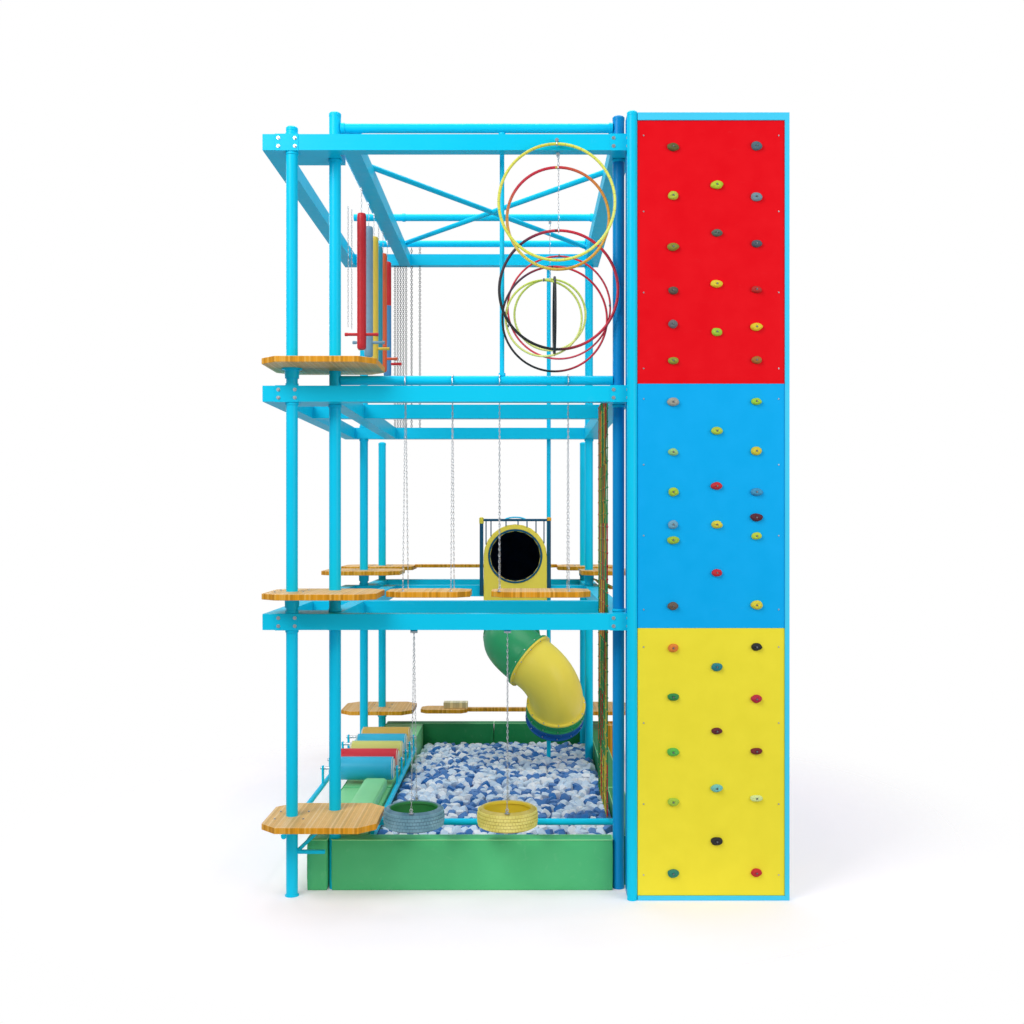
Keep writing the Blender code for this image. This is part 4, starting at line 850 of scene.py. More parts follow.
def foam_heap(sizes, name, points, faces, stands_for):
    """Rounded foam blocks heaped on a bed, in three colours, each turned at random."""
    p = Pattern("foam_blocks")
    edge = p.ask("Block", "Float", sizes.block_size)
    seed = p.ask("Seed", "Int", 7)
    shares = (("pale", 0.0, 0.36), ("blue", 0.36, 0.70), ("white", 0.70, 1.01))
    materials = [p.ask(tint, "Material", Finish.made[f"foam_{tint}_cut"]) for tint, *_ in shares]
    spread = p.geometry(
        "DistributePointsOnFaces",
        {"Mesh": p.base, "Distance Min": p.times(edge, 0.62), "Density Max": 150.0, "Seed": seed},
        distribute_method="POISSON",
    )
    cube = p.geometry("MeshCube", {"Size": (1.0, 1.0, 1.0)})
    block = p.geometry("SubdivisionSurface", {0: cube, "Level": 1, "Edge Crease": 0.45})

    def random_vector(low, high, number):
        return p.turn("RandomValue", {0: low, 1: high, "Seed": number}, data_type="FLOAT_VECTOR")

    angles = random_vector((0.0, 0.0, 0.0), (6.28, 6.28, 6.28), 3)
    grow = random_vector((0.72, 0.72, 0.6), (1.15, 1.15, 1.0), 5)
    size = p.add("ShaderNodeVectorMath", {0: grow, "Scale": edge}, operation="SCALE")[0]
    tone = p.add("FunctionNodeRandomValue", {2: 0.0, 3: 1.0, "Seed": 11}, data_type="FLOAT")[1]
    branches = []
    for (_, low, high), material in zip(shares, materials):
        above = p.turn("Compare", {0: tone, 1: low}, data_type="FLOAT", operation="GREATER_EQUAL")
        below = p.turn("Compare", {0: tone, 1: high}, data_type="FLOAT", operation="LESS_THAN")
        chosen = p.turn("BooleanMath", {0: above, 1: below}, operation="AND")
        blocks = p.instances(spread, block, Selection=chosen, Rotation=angles, Scale=size)
        branches.append(p.finish(blocks, material))
    return p.run(p.join(*branches), name, points, faces=faces, stands_for=stands_for)


def ropes(name, thick, points, edges, **options):
    """Round ropes along every edge of a grid, with a wrapped knot on every crossing."""
    p = Pattern("net_ropes")
    strand = p.ask("Strand", "Float", thick)
    material = p.ask("Finish", "Material", Finish.made["net_rope"])
    lines = p.geometry("MeshToCurve", {"Mesh": p.base})
    section = p.geometry("CurvePrimitiveCircle", {"Resolution": 7, "Radius": p.times(strand, 0.5)})
    cords = p.geometry("CurveToMesh", {"Curve": lines, "Profile Curve": section})
    ball = p.geometry("MeshIcoSphere", {"Radius": p.times(strand, 0.95), "Subdivisions": 1})
    knots = p.instances(p.geometry("MeshToPoints", {"Mesh": p.base}), ball)
    end = p.join(p.finish(cords, material), p.finish(knots, material))
    p.run(end, name, points, edges, **options)


def tread_blocks(name, finish, points, vectors, **options):
    """Tread blocks, one on each point, facing out."""
    p = Pattern("tread_blocks")
    size = p.ask("Block", "Vector", (0.030, 0.026, 0.010))
    material = p.ask("Finish", "Material", Finish.made[finish])
    upright = {"Rotation": p.outward(), "Vector": (0.0, 0.0, 1.0)}
    level = p.turn("AlignRotationToVector", upright, axis="Y", pivot_axis="Z")
    blocks = p.instances(p.base, p.geometry("MeshCube", {"Size": size}), Rotation=level)
    p.run(p.finish(blocks, material), name, points, vectors=vectors, **options)


# Frame: posts, beams and rails

OUTER_LEFT_POST = (OUTER_LEFT_X, FRONT_Y, POST_RADIUS)
INNER_LEFT_POST = (INNER_LEFT_X, INNER_FRONT_Y, INNER_POST_RADIUS)
FRONT_RIGHT_POST = (RIGHT_X, INNER_FRONT_Y, INNER_POST_RADIUS)
REAR_LEFT_POST = (OUTER_LEFT_X, REAR_Y, POST_RADIUS)
REAR_RIGHT_POST = (REAR_RIGHT_X, REAR_Y, POST_RADIUS)
WALL_POST_X = 1.06
WALL_POST_RADIUS = 0.051
WALL_Y = -0.1213
POSTS = (
    ("front_left_outer_post", *OUTER_LEFT_POST, 7.69, "frame_paint"),
    ("front_left_inner_post", *INNER_LEFT_POST, 7.92, "frame_paint"),
    # Painted shade: this post stands in the wall's shadow and takes the darker blue
    ("front_right_post", *FRONT_RIGHT_POST, 7.88, "deep_paint"),
    ("rear_left_post", *REAR_LEFT_POST, 7.84, "frame_paint"),
    ("rear_right_post", *REAR_RIGHT_POST, 7.84, "frame_paint"),
    ("back_left_post", BACK_LEFT_X, BACK_Y, POST_RADIUS, 5.00, "frame_paint"),
    ("back_right_post", BACK_RIGHT_X, BACK_Y, POST_RADIUS, 5.00, "frame_paint"),
    ("wall_left_post", WALL_POST_X, WALL_Y, WALL_POST_RADIUS, 7.80, "frame_paint"),
)
COLLARED_POSTS = (
    OUTER_LEFT_POST, INNER_LEFT_POST, FRONT_RIGHT_POST, REAR_LEFT_POST, REAR_RIGHT_POST,
)
POSTS_WITH_PLATES = ("front_left_outer_post", "rear_left_post")


def add_posts(sizes):
    for node, x, y, radius, top, finish in POSTS:
        shape = Shape(sizes.round_sides)
        cap = radius + 0.002
        profile = [(0.0, radius), (top - 0.050, radius), (top - 0.048, cap), (top - 0.020, cap)]
        profile += [(top - 0.008, radius * 0.85), (top, radius * 0.4), (top, 0.0)]
        shape.upright(x, y, profile)
        if node in POSTS_WITH_PLATES:
            plate = radius + 0.012
            profile = [(0.0, 0.0), (0.0, plate), (0.010, plate), (0.012, radius + 0.004)]
            shape.upright(x, y, [*profile, (0.024, radius)])
        shape.piece(node + "_tube", [finish], stands_for=(node,))
    bracket = Shape()
    bracket.box((-2.275, -0.020, 0.42), (-2.00, 0.020, 0.455))
    bracket.tube([(-2.27, 0.0, 0.45), (-1.99, 0.20, 0.70)], 0.022, sides=4)
    soften(bracket.piece("board_bracket", ["frame_paint"], takes="frame_blue"), 0.003)


def add_beams(sizes):
    storeys = {"top": TOP_BEAM_Z, "upper": UPPER_BEAM_Z, "lower": LOWER_BEAM_Z}
    for storey in storeys:
        beams = dressed(f"{storey}_beam_frame", f"{storey}_beams", "frame_paint", "frame_blue")
        soften(beams, sizes.edge_round)
    fittings = Shape(sizes.round_sides)
    bolts = []
    lip = 0.004
    half = BEAM_HALF + lip
    for z in storeys.values():
        low, high = z - lip, z + BEAM_HEIGHT + lip
        section = ((-half, low), (half, low), (half, high), (-half, high))
        for ends in ((-2.486, -2.252), (0.845, 1.058)):
            fittings.rings([[(x, y, up) for y, up in section] for x in ends])
            for x in (ends[0] + 0.035, ends[1] - 0.035):
                bolts += [((x, -half - 0.001, z + up), (0, -1, 0)) for up in (0.04, 0.12)]
        top = z + BEAM_HEIGHT
        for x, y, radius in COLLARED_POSTS:
            wide = radius + 0.008
            for start, end in ((z - 0.03, z - 0.001), (top + 0.001, top + 0.03)):
                profile = [(start, radius), (start, wide - 0.003), (start + 0.003, wide)]
                profile += [(end - 0.003, wide), (end, wide - 0.003), (end, radius)]
                fittings.upright(x, y, profile, closed=True)
        bolts += [((FRAME_LEFT - 0.001, 0.75 + 0.5 * k, z + 0.08), (-1, 0, 0)) for k in range(9)]
    soften(fittings.piece("sleeves_and_collars", ["frame_paint"], takes="frame_blue"), 0.003, 2)
    bolt_heads("beam_bolts", 0.022, bolts)
    z = TOP_BEAM_Z + BEAM_HEIGHT + 0.018
    right = 0.961
    brace = Shape(sizes.round_sides)
    brace.tube([(TOP_INNER_X, 0.95, z), (right, 4.75, z)], 0.0312)
    brace.tube([(right, 1.10, z), (TOP_INNER_X, 4.45, z)], 0.0312)
    brace.piece("roof_brace", ["frame_paint"], takes="frame_blue")


def add_rails(sizes):
    roof = Shape(sizes.round_sides)
    z = ROOF_RAIL_Z
    inner = INNER_POST_RADIUS + GAP
    start, end = INNER_LEFT_X + inner, RIGHT_X - inner
    left_radius, middle_radius = 0.0466, 0.0456
    roof.tube([(start, INNER_FRONT_Y, z), (end, INNER_FRONT_Y, z)], FRONT_RAIL_RADIUS)
    left = [(-1.66, 0.24, z), (-1.78, 0.34, z), (INNER_LEFT_X, 0.54, z), (INNER_LEFT_X, REAR_Y, z)]
    roof.tube(rounded(left, 0.12), left_radius)
    roof.tube([(-2.26, ROOF_MID_Y, z), (RIGHT_X, ROOF_MID_Y, z)], middle_radius)
    side = POST_RADIUS + GAP
    roof.tube([(OUTER_LEFT_X + side, REAR_Y, z), (REAR_RIGHT_X - side, REAR_Y, z)], 0.047)
    for x, y, radius, axis in (
        (start + 0.02, INNER_FRONT_Y, FRONT_RAIL_RADIUS, (1, 0, 0)),
        (end - 0.02, INNER_FRONT_Y, FRONT_RAIL_RADIUS, (1, 0, 0)),
        (INNER_LEFT_X, ROOF_MID_Y - 0.06, left_radius, (0, 1, 0)),
        (INNER_LEFT_X, REAR_Y - 0.07, left_radius, (0, 1, 0)),
        (-1.6, ROOF_MID_Y, middle_radius, (1, 0, 0)),
        (0.88, ROOF_MID_Y, middle_radius, (1, 0, 0)),
    ):
        roof.lathe((x, y, z), axis, band(-0.02, 0.02, radius, 0.008), closed=True)
    roof.piece("roof_tubes", ["frame_paint"], stands_for=("roof_rails",))

    upper = Shape(sizes.round_sides)
    z, x, y, thin = UPPER_RAIL_Z, -0.235, INNER_FRONT_Y, 0.024
    upper.tube([(start, y, z), (end, y, z)], FRONT_RAIL_RADIUS)
    pole_top = ROOF_RAIL_Z - FRONT_RAIL_RADIUS - GAP
    upper.tube([(x, y, z), (x, y, pole_top)], thin)
    for low, high in ((z + 0.046, z + 0.075), (pole_top - 0.030, pole_top)):
        upper.upright(x, y, band(low, high, thin, 0.012), closed=True)
    upper.piece("upper_front_tubes", ["frame_paint"], stands_for=("upper_front_rail",))

    low = Shape(sizes.round_sides)
    plan = (
        (INNER_LEFT_X, INNER_FRONT_Y + inner), (INNER_LEFT_X, TYRE_RAIL_Y),
        (RIGHT_X, TYRE_RAIL_Y), (RIGHT_X, INNER_FRONT_Y + inner),
    )
    low.tube(rounded([(*place, TYRE_RAIL_Z) for place in plan], 0.08), 0.034)
    low.piece("low_front_tube", ["frame_paint"], stands_for=("tyre_rail",))


# Boards

BOARDS = (
    ("ground_front_board", OUTER_LEFT_X, FRONT_Y, GROUND_BOARD_TOP),
    ("lower_front_board", OUTER_LEFT_X, FRONT_Y, LOWER_BOARD_TOP),
    ("upper_front_board", OUTER_LEFT_X, FRONT_Y, UPPER_BOARD_TOP),
    ("lower_rear_left_board", OUTER_LEFT_X, REAR_Y, LOWER_BOARD_TOP),
    ("lower_back_left_board", BACK_LEFT_X, BACK_Y, LOWER_BOARD_TOP),
    ("ground_back_left_board", BACK_LEFT_X, BACK_Y, GROUND_BOARD_TOP),
    ("lower_rear_right_board", REAR_RIGHT_X, REAR_Y, LOWER_BOARD_TOP),
    ("lower_back_right_board", BACK_RIGHT_X, BACK_Y, LOWER_BOARD_TOP),
    ("ground_back_right_board", BACK_RIGHT_X, BACK_Y, GROUND_BOARD_TOP),
)


def add_boards(sizes):
    flanges = Shape(sizes.round_sides)
    bolts = []
    wide = POST_RADIUS + 0.045
    for node, x, y, top in BOARDS:
        soften(dressed(node, node + "_wood", "board_wood", "wood"), sizes.board_round)
        under = top - BOARD_THICK
        profile = [(under - 0.10, POST_RADIUS), (under - 0.10, POST_RADIUS + 0.012)]
        profile += [(under - 0.018, POST_RADIUS + 0.014), (under - 0.014, wide)]
        profile += [(under - 0.001, wide), (under - 0.001, POST_RADIUS)]
        flanges.upright(x, y, profile, closed=True)
        corners = (math.pi / 4 + math.pi / 2 * k for k in range(4))
        spots = [(x + 0.20 * math.cos(a), y + 0.20 * math.sin(a), top + 0.001) for a in corners]
        bolts += [(spot, (0, 0, 1)) for spot in spots]
    flanges.piece("board_flanges", ["frame_paint"], takes="frame_blue")
    bolt_heads("board_bolts", 0.016, bolts)


# Climbing wall

PANEL_BACK_Y = WALL_Y + 0.010
PANEL_FRONT_Y = PANEL_BACK_Y - 0.030
PANEL_LEFT = WALL_POST_X + WALL_POST_RADIUS + GAP
PANEL_RIGHT = 2.61 - 0.045 - GAP
PANELS = (
    ("red", 5.10 + GAP, 7.700),
    ("blue", 2.686 + GAP, 5.10),
    ("yellow", 0.045 + GAP, 2.686),
)
PANEL_BOLT_ROWS = (0.25, 0.95, 1.75, 2.5, 2.87, 3.6, 4.3, 4.95, 5.25, 6.0, 6.8, 7.55)

# Depth and share of the full width, from the back of a hold to its dished middle
HOLD_LAYERS = (
    (0.004, 0.98), (-0.010, 1.0), (-0.026, 0.86), (-0.038, 0.55), (-0.036, 0.22), (-0.034, 0.06),
)

# Holds in the left, middle and right columns: height and colour
HOLDS = {
    1.462: (
        (7.436, (96, 96, 40)), (6.954, (190, 205, 60)), (6.449, (140, 140, 40)),
        (6.018, (96, 84, 70)), (5.687, (110, 112, 116)), (5.326, (150, 160, 50)),
        (4.919, (170, 165, 150)), (4.425, (165, 210, 130)), (4.030, (180, 210, 50)),
        (3.709, (120, 170, 190)), (3.556, (170, 200, 50)), (2.905, (110, 88, 70)),
        (2.492, (235, 130, 40)), (2.008, (40, 140, 70)), (1.464, (90, 190, 70)),
        (0.974, (170, 205, 60)), (0.268, (30, 130, 110)),
    ),
    1.893: (
        (7.061, (185, 215, 40)), (6.587, (90, 110, 96)), (6.084, (236, 214, 40)),
        (5.610, (170, 210, 50)), (4.634, (190, 210, 60)), (4.090, (210, 30, 40)),
        (3.709, (230, 215, 60)), (3.234, (212, 24, 40)), (2.304, (20, 130, 140)),
        (1.671, (100, 20, 40)), (1.108, (120, 200, 190)), (0.585, (22, 22, 26)),
    ),
    2.284: (
        (7.444, (80, 110, 120)), (6.941, (120, 150, 160)), (6.479, (80, 90, 100)),
        (6.028, (190, 40, 30)), (5.660, (236, 206, 30)), (5.332, (170, 110, 40)),
        (4.924, (170, 215, 50)), (4.435, (226, 206, 50)), (4.030, (60, 150, 190)),
        (3.780, (90, 20, 36)), (3.597, (205, 220, 60)), (2.915, (232, 214, 50)),
        (2.502, (24, 24, 28)), (1.988, (190, 24, 60)), (1.474, (120, 20, 30)),
        (1.009, (225, 240, 160)), (0.274, (205, 24, 36)),
    ),
}


def add_wall(sizes):
    soften(dressed("wall_frame", "wall_frame_trim", "trim_paint", "frame_blue"), 0.006)
    for tone, low, high in PANELS:
        shape = Shape()
        shape.box((PANEL_LEFT, PANEL_FRONT_Y, low), (PANEL_RIGHT, PANEL_BACK_Y, high))
        stands_for = (f"wall_panel_{tone}",)
        soften(shape.piece(f"{tone}_panel", [f"panel_{tone}"], stands_for=stands_for), 0.004)
    random.seed(21)
    strip = Shape()
    strip.box((1.012, -0.07, 0.02), (1.030, 0.09, 7.78))
    # Painted shade: the strip stands in the wall's shadow and takes the darker blue
    soften(strip.piece("wall_closing_strip", ["deep_paint"], takes="frame_blue"), 0.003)
    resin = Shape()
    tones, bolts = [], []
    for x, rows in HOLDS.items():
        for z, tone in rows:
            start = len(resin.points)
            add_hold(resin, x, z, sizes.hold_width)
            tones += [*colour(*tone), 1.0] * (len(resin.points) - start)
            bolts.append(((x, PANEL_FRONT_Y - 0.040, z), (0, -1, 0)))
    holds = resin.piece("wall_holds", ["hold_resin"], takes="wall_yellow")
    attribute = holds.data.color_attributes.new("shade", "FLOAT_COLOR", "POINT")
    attribute.data.foreach_set("color", tones)
    smooth = holds.modifiers.new("smooth", "SUBSURF")
    smooth.levels = smooth.render_levels = 1
    bolt_heads("hold_bolts", 0.011, bolts, "dark_steel")
    columns = (PANEL_LEFT + 0.06, PANEL_RIGHT - 0.06)
    spots = [(x, PANEL_FRONT_Y - 0.002, z) for x in columns for z in PANEL_BOLT_ROWS]
    bolt_heads("panel_bolts", 0.009, [(spot, (0, -1, 0)) for spot in spots])


def add_hold(shape, x, z, width):
    """A lumpy cast hold with a dished middle for its bolt. Its back sits in the panel."""
    seed = random.uniform(0, 50)
    wide = width * random.uniform(0.48, 0.58)
    tall = width * random.uniform(0.32, 0.42)
    rings = []
    for depth, share in HOLD_LAYERS:
        ring = []
        for a in turns(14):
            place = Vector((math.cos(a) * 1.3 + seed, math.sin(a) * 1.3, depth * 20))
            reach = share * (1 + 0.22 * noise.noise(place))
            push = 1 + 0.25 * noise.noise(Vector((seed, math.cos(a), math.sin(a))))
            y = PANEL_FRONT_Y + (depth * push if depth < 0 else depth)
            ring.append((x + wide * reach * math.cos(a), y, z + tall * reach * math.sin(a)))
        rings.append(ring)
    shape.rings(rings)


# Pit and foam

PAD_HEIGHT = 0.52
PIT_LEFT = -2.216
PIT_INNER_LEFT = -1.62
PIT_INNER_RIGHT = 1.00
PIT_FRONT = 0.15
PIT_REAR = 6.70
PAD_THICK = 0.19
PAD_JOINTS = (2.40, 4.55)
FRONT_JOINT_X = -1.985
REAR_JOINT_X = -0.50
FOAM_TOP = 0.45
FOAM_BED_TOP = 0.35


def cushion(shape, low, high, spacing=0.10, swell=0.010, round_edge=0.022, slot=0):
    """An upholstered block: rounded edges, faces that swell between seams, a flat underside."""
    counts = [max(4, round((b - a) / spacing)) for a, b in zip(low, high)]
    half = [(b - a) / 2 for a, b in zip(low, high)]
    middle = Vector([(a + b) / 2 for a, b in zip(low, high)])
    cuts = []
    for reach, count in zip(half, counts):
        inner = reach - round_edge
        near = reach - round_edge * 0.35
        row = [-inner + 2 * inner * i / count for i in range(count + 1)]
        cuts.append([-reach, -near, *row, near, reach])
    made, points, faces = {}, [], []

    def corner(index):
        if index not in made:
            p = Vector([cuts[k][index[k]] for k in range(3)])
            core = Vector([max(-h + round_edge, min(h - round_edge, v)) for h, v in zip(half, p)])
            if p[2] < 0:
                core[2] = p[2]
            out = p - core
            if out.length > round_edge:
                out = out.normalized() * round_edge
            spot = core + out
            share = [max(0.0, 1 - (abs(v) / h) ** 4) for h, v in zip(half, p)]
            for k in range(3):
                if abs(p[k]) > half[k] - 1e-6 and not (k == 2 and p[2] < 0):
                    a, b = [j for j in range(3) if j != k]
                    spot[k] -= math.copysign(swell * (1 - (share[a] * share[b]) ** 0.5), p[k])
            made[index] = len(points)
            points.append(spot + middle)
        return made[index]

    for k in range(3):
        a, b = [j for j in range(3) if j != k]
        for level in (0, len(cuts[k]) - 1):
            for i in range(len(cuts[a]) - 1):
                for j in range(len(cuts[b]) - 1):
                    ring = []
                    for di, dj in ((0, 0), (1, 0), (1, 1), (0, 1)):
                        index = [0, 0, 0]
                        index[k], index[a], index[b] = level, i + di, j + dj
                        ring.append(corner(tuple(index)))
                    faces.append(ring)
    shape.add(points, faces, slot)


def piping(shape, low, high, slot):
    """The welt sewn round the top of a block."""
    inset = 0.004
    x0, y0, x1, y1 = low[0] + inset, low[1] + inset, high[0] - inset, high[1] - inset
    plan = ((x0 + 0.1, y0), (x1, y0), (x1, y1), (x0, y1), (x0, y0), (x0 + 0.1, y0))
    path = rounded([(x, y, high[2] - inset - 0.006) for x, y in plan], 0.02, 4)
    shape.tube(path[:-1], 0.006, slot, sides=8, closed=True)


def add_pit(sizes):
    inner_front = PIT_FRONT + PAD_THICK
    right = PIT_INNER_RIGHT + PAD_THICK
    rear = PIT_REAR - GAP
    edge = RIGHT_X - INNER_POST_RADIUS - GAP
    side_rows = [(joint + 0.002, end) for joint, end in zip(PAD_JOINTS, (PAD_JOINTS[1], rear))]
    plans = {
        ("pit_front_pad", "pit_vinyl"): [(FRONT_JOINT_X + 0.0175, PIT_FRONT, edge, inner_front)],
        ("pit_left_pad", "pit_light_vinyl"): [
            (PIT_LEFT, PIT_FRONT, FRONT_JOINT_X - 0.0175, inner_front),
            (PIT_LEFT, inner_front + 0.002, PIT_INNER_LEFT, PAD_JOINTS[0]),
            *((PIT_LEFT, start, PIT_INNER_LEFT, end) for start, end in side_rows),
        ],
        # The right and rear pads take the green painted in shade
        ("pit_right_pad", "pit_deep_vinyl"): [
            (PIT_INNER_RIGHT, INNER_FRONT_Y + 0.08, right, PAD_JOINTS[0]),
            *((PIT_INNER_RIGHT, start, right, end) for start, end in side_rows),
        ],
        ("pit_rear_pad", "pit_deep_vinyl"): [
            (PIT_LEFT, PIT_REAR, REAR_JOINT_X, PIT_REAR + PAD_THICK),
            (REAR_JOINT_X + 0.0015, PIT_REAR, right, PIT_REAR + PAD_THICK),
        ],
    }
    for (node, finish), plan in plans.items():
        shape = Shape()
        for x0, y0, x1, y1 in plan:
            low, high = (x0, y0, 0.0), (x1, y1, PAD_HEIGHT)
            end = node == "pit_left_pad" and y0 == PIT_FRONT
            cushion(shape, low, high, 0.11, sizes.pad_swell, slot=int(end))
            piping(shape, low, high, int(not end))
        welt = "pit_vinyl" if finish == "pit_light_vinyl" else "pit_light_vinyl"
        shape.piece(node + "_cover", [finish, welt], stands_for=(node,))


def foam_fall(y):
    """How far the heap has sunk at this depth: it lies lower at the rear of the pit."""
    return 0.20 * max(0.0, min(1.0, (y - 3.4) / 3.2))


def add_foam(sizes):
    margin = 0.004
    low = (PIT_INNER_LEFT + margin, PIT_FRONT + PAD_THICK + margin)
    high = (PIT_INNER_RIGHT - margin, PIT_REAR - margin)
    bed = Shape()
    cushion(bed, (*low, 0.0), (*high, FOAM_BED_TOP), 0.4, 0.0, 0.02)
    for point in bed.points:
        point.z -= foam_fall(point.y) * point.z / FOAM_BED_TOP
    # The bed takes the darker blue, painted shade that shows between the blocks
    bed.piece("foam_bed", ["foam_base_cut"])
    across, deep = 26, 62
    inset = sizes.block_size * 0.55
    points, faces = [], []
    for j in range(deep + 1):
        for i in range(across + 1):
            x = low[0] + inset + (high[0] - low[0] - 2 * inset) * i / across
            y = low[1] + inset + (high[1] - low[1] - 2 * inset) * j / deep
            heap = 0.022 * noise.noise(Vector((x * 1.6, y * 1.6, 0.0)))
            points.append((x, y, FOAM_TOP - 0.075 + heap - foam_fall(y)))
            if i < across and j < deep:
                a = j * (across + 1) + i
                faces.append((a, a + 1, a + across + 2, a + across + 1))
    foam_heap(sizes, "foam_blocks", points, faces, ("foam_fill",))


# Tube slide

SLIDE_X = -0.14
SLIDE_Z = 3.24
SLIDE_RADIUS = 0.375
SLIDE_BORE = 0.361
SLIDE_FRONT_Y = REAR_Y - BEAM_HALF - GAP
SLIDE_CORNERS = (
    (SLIDE_X, SLIDE_FRONT_Y, SLIDE_Z),
    (SLIDE_X, 5.86, SLIDE_Z),
    (SLIDE_X, 5.86, 2.10),
    (-0.24, 4.53, 2.02),
    (0.458, 4.213, 1.518),
    (0.42, 4.717, 0.946),
)
SLIDE_BENDS = (0.50, 0.50, 0.48, 0.48)
SLIDE_SECTIONS = (
    ("slide_top_bend", "green"),
    ("slide_back_bend", "green"),
    ("slide_upper_bend", "green"),
    ("slide_tube", "yellow"),
    ("slide_lower_section", "green"),
    ("slide_exit", "blue"),
)
GUARD_TOP = 3.76
PANEL_HALF = 0.455
BALUSTERS = (-0.56, -0.489, -0.273, -0.10, 0.029, 0.158, 0.273)


def slide_runs():
    """The centre line of the slide, cut into its moulded sections."""
    corners = [Vector(c) for c in SLIDE_CORNERS]
    bends = enumerate(SLIDE_BENDS)
    arcs = [rounded(corners[k : k + 3], bend, 10)[1:-1] for k, bend in bends]
    along = (corners[4] - corners[3]).normalized() * 0.05
    away = (corners[5] - corners[4]).normalized() * 0.05
    drop = (arcs[0][-1] + arcs[1][0]) / 2
    level = (arcs[1][-1] + arcs[2][0]) / 2
    upper = [level, *arcs[2], arcs[2][-1] + along]
    turn = [upper[-1], *arcs[3], arcs[3][-1] + away]
    half = (turn[-1] + corners[-1]) / 2
    return (
        [corners[0], *arcs[0], drop], [drop, *arcs[1], level],
        upper, turn, [turn[-1], half], [half, corners[-1]],
    )


def moulding(shape, run):
    """One section: a tube with a stepped flange at each end, and an inner skin painted dark as the
    shade inside the tube.
    """
    points = [Vector(p) for p in run]
    into = (points[1] - points[0]).normalized()
    out = (points[-1] - points[-2]).normalized()
    points[0] += into * GAP
    points[-1] -= out * GAP
    flange, thick, lip = SLIDE_RADIUS + 0.040, 0.030, 0.004
    step = [(0.0, flange - lip), (lip, flange), (thick - lip, flange), (thick, flange - lip)]
    step += [(thick + lip, SLIDE_RADIUS + 0.010), (thick + 0.03, SLIDE_RADIUS)]
    path = [points[0] + into * d for d, _ in step] + points[1:-1]
    path += [points[-1] - out * d for d, _ in reversed(step)]
    radii = [r for _, r in step] + [SLIDE_RADIUS] * (len(points) - 2)
    radii += [r for _, r in reversed(step)]
    ends = []
    for slot, sizes in enumerate((radii, SLIDE_BORE)):
        start = len(shape.points)
        shape.tube(path, sizes, slot, caps=False)
        skin = shape.points[start:]
        ends.append((skin[: shape.sides], skin[-shape.sides :]))
    for outer, inner in zip(*ends):
        shape.rings([outer, inner], caps=False)


def add_slide(sizes):
    bolts = []
    for (name, tint), run in zip(SLIDE_SECTIONS, slide_runs()):
        shape = Shape(48)
        moulding(shape, run)
        # The inner skin takes the painted shade of the tube's inside
        finishes = [f"slide_{tint}_plastic", "slide_inside"]
        shape.piece(name + "_shell", finishes, stands_for=(name,), merge=True)
        for end, inner in ((run[0], run[1]), (run[-1], run[-2])):
            axis = (inner - end).normalized()
            side = axis.orthogonal().normalized() * (SLIDE_RADIUS + 0.026)
            for a in turns(12):
                arm = Matrix.Rotation(a + 0.2, 3, axis) @ side
                bolts.append((end + axis * 0.031 + arm, axis))
    bolt_heads("slide_bolts", 0.014, bolts)

    panel = dressed("slide_panel", "slide_entrance", "slide_yellow_plastic", "slide_yellow")
    soften(panel, 0.006)
    ring = Shape(64)
    bore, rim = SLIDE_BORE, SLIDE_BORE + 0.030
    profile = [(0.0, bore), (-0.010, bore), (-0.014, bore + 0.006), (-0.014, bore + 0.022)]
    profile += [(-0.002, rim), (0.0, rim)]
    ring.lathe((SLIDE_X, SLIDE_FRONT_Y - 0.030, SLIDE_Z), (0, 1, 0), profile, closed=True)
    ring.piece("slide_mouth_ring", ["guard_paint"], takes="guard_teal")
    add_guard(sizes)


def add_guard(sizes):
    guard = Shape(sizes.round_sides)
    side = PANEL_HALF + 0.030 + GAP
    left, right = SLIDE_X - side, SLIDE_X + side
    y = SLIDE_FRONT_Y - 0.027
    post_y = REAR_Y + BEAM_HALF + GAP + 0.030
    rail, foot, top = GUARD_TOP, LOWER_BEAM_Z + 0.02, GUARD_TOP + 0.04
    guard.tube([(right, post_y, 0.0), (right, post_y, TOP_BEAM_Z + 0.10)], 0.030, 4)
    for x, tall, slot in ((left, 0.09, 1), (right, 0.05, 2)):
        guard.tube([(x, y, foot), (x, y, top - tall)], 0.027)
        cap = [(top - tall, 0.027), (top - tall, 0.033), (top - 0.012, 0.033)]
        guard.upright(x, y, [*cap, (top, 0.018), (top, 0.0)], slot=slot)
    guard.tube([(left, y, rail), (right, y, rail)], 0.018)
    guard.tube([(right, y, rail - 0.10), (right, post_y, rail - 0.10)], 0.018)
    for x in BALUSTERS:
        across = (x - SLIDE_X) / PANEL_HALF
        edge = SLIDE_Z + (rail - 0.06 - SLIDE_Z) * math.sqrt(1.0 - across * across)
        guard.tube([(x, y, edge - 0.01), (x, y, rail)], 0.0085, sides=16)
    hood = [
        (SLIDE_X - 0.17 * math.cos(a), y, rail - 0.02 + 0.06 * math.sin(a)) for a in turns(24)[:13]
    ]
    guard.tube(hood, 0.011, 3, sides=16)
    finishes = ["guard_paint", "cap_yellow", "cap_orange", "trim_paint", "frame_paint"]
    guard.piece("slide_rail", finishes, stands_for=("slide_guard",))


# Roller bridge

ROLLER_TINTS = ("blue", "red", "lime", "blue", "tan")
ROLLER_ROWS = (2.60, 3.10, 3.60, 4.10, 4.60)
ROLLER_LEFTS = (-2.30, -2.42, -2.30, -2.30, -2.30)
ROLLER_Z = 0.70
ROLLER_RADIUS = 0.14
ROLLER_RIGHT = -1.61
RAIL_LEFT_X = -2.49
RAIL_RIGHT_X = -1.575
RAIL_Z = 0.49


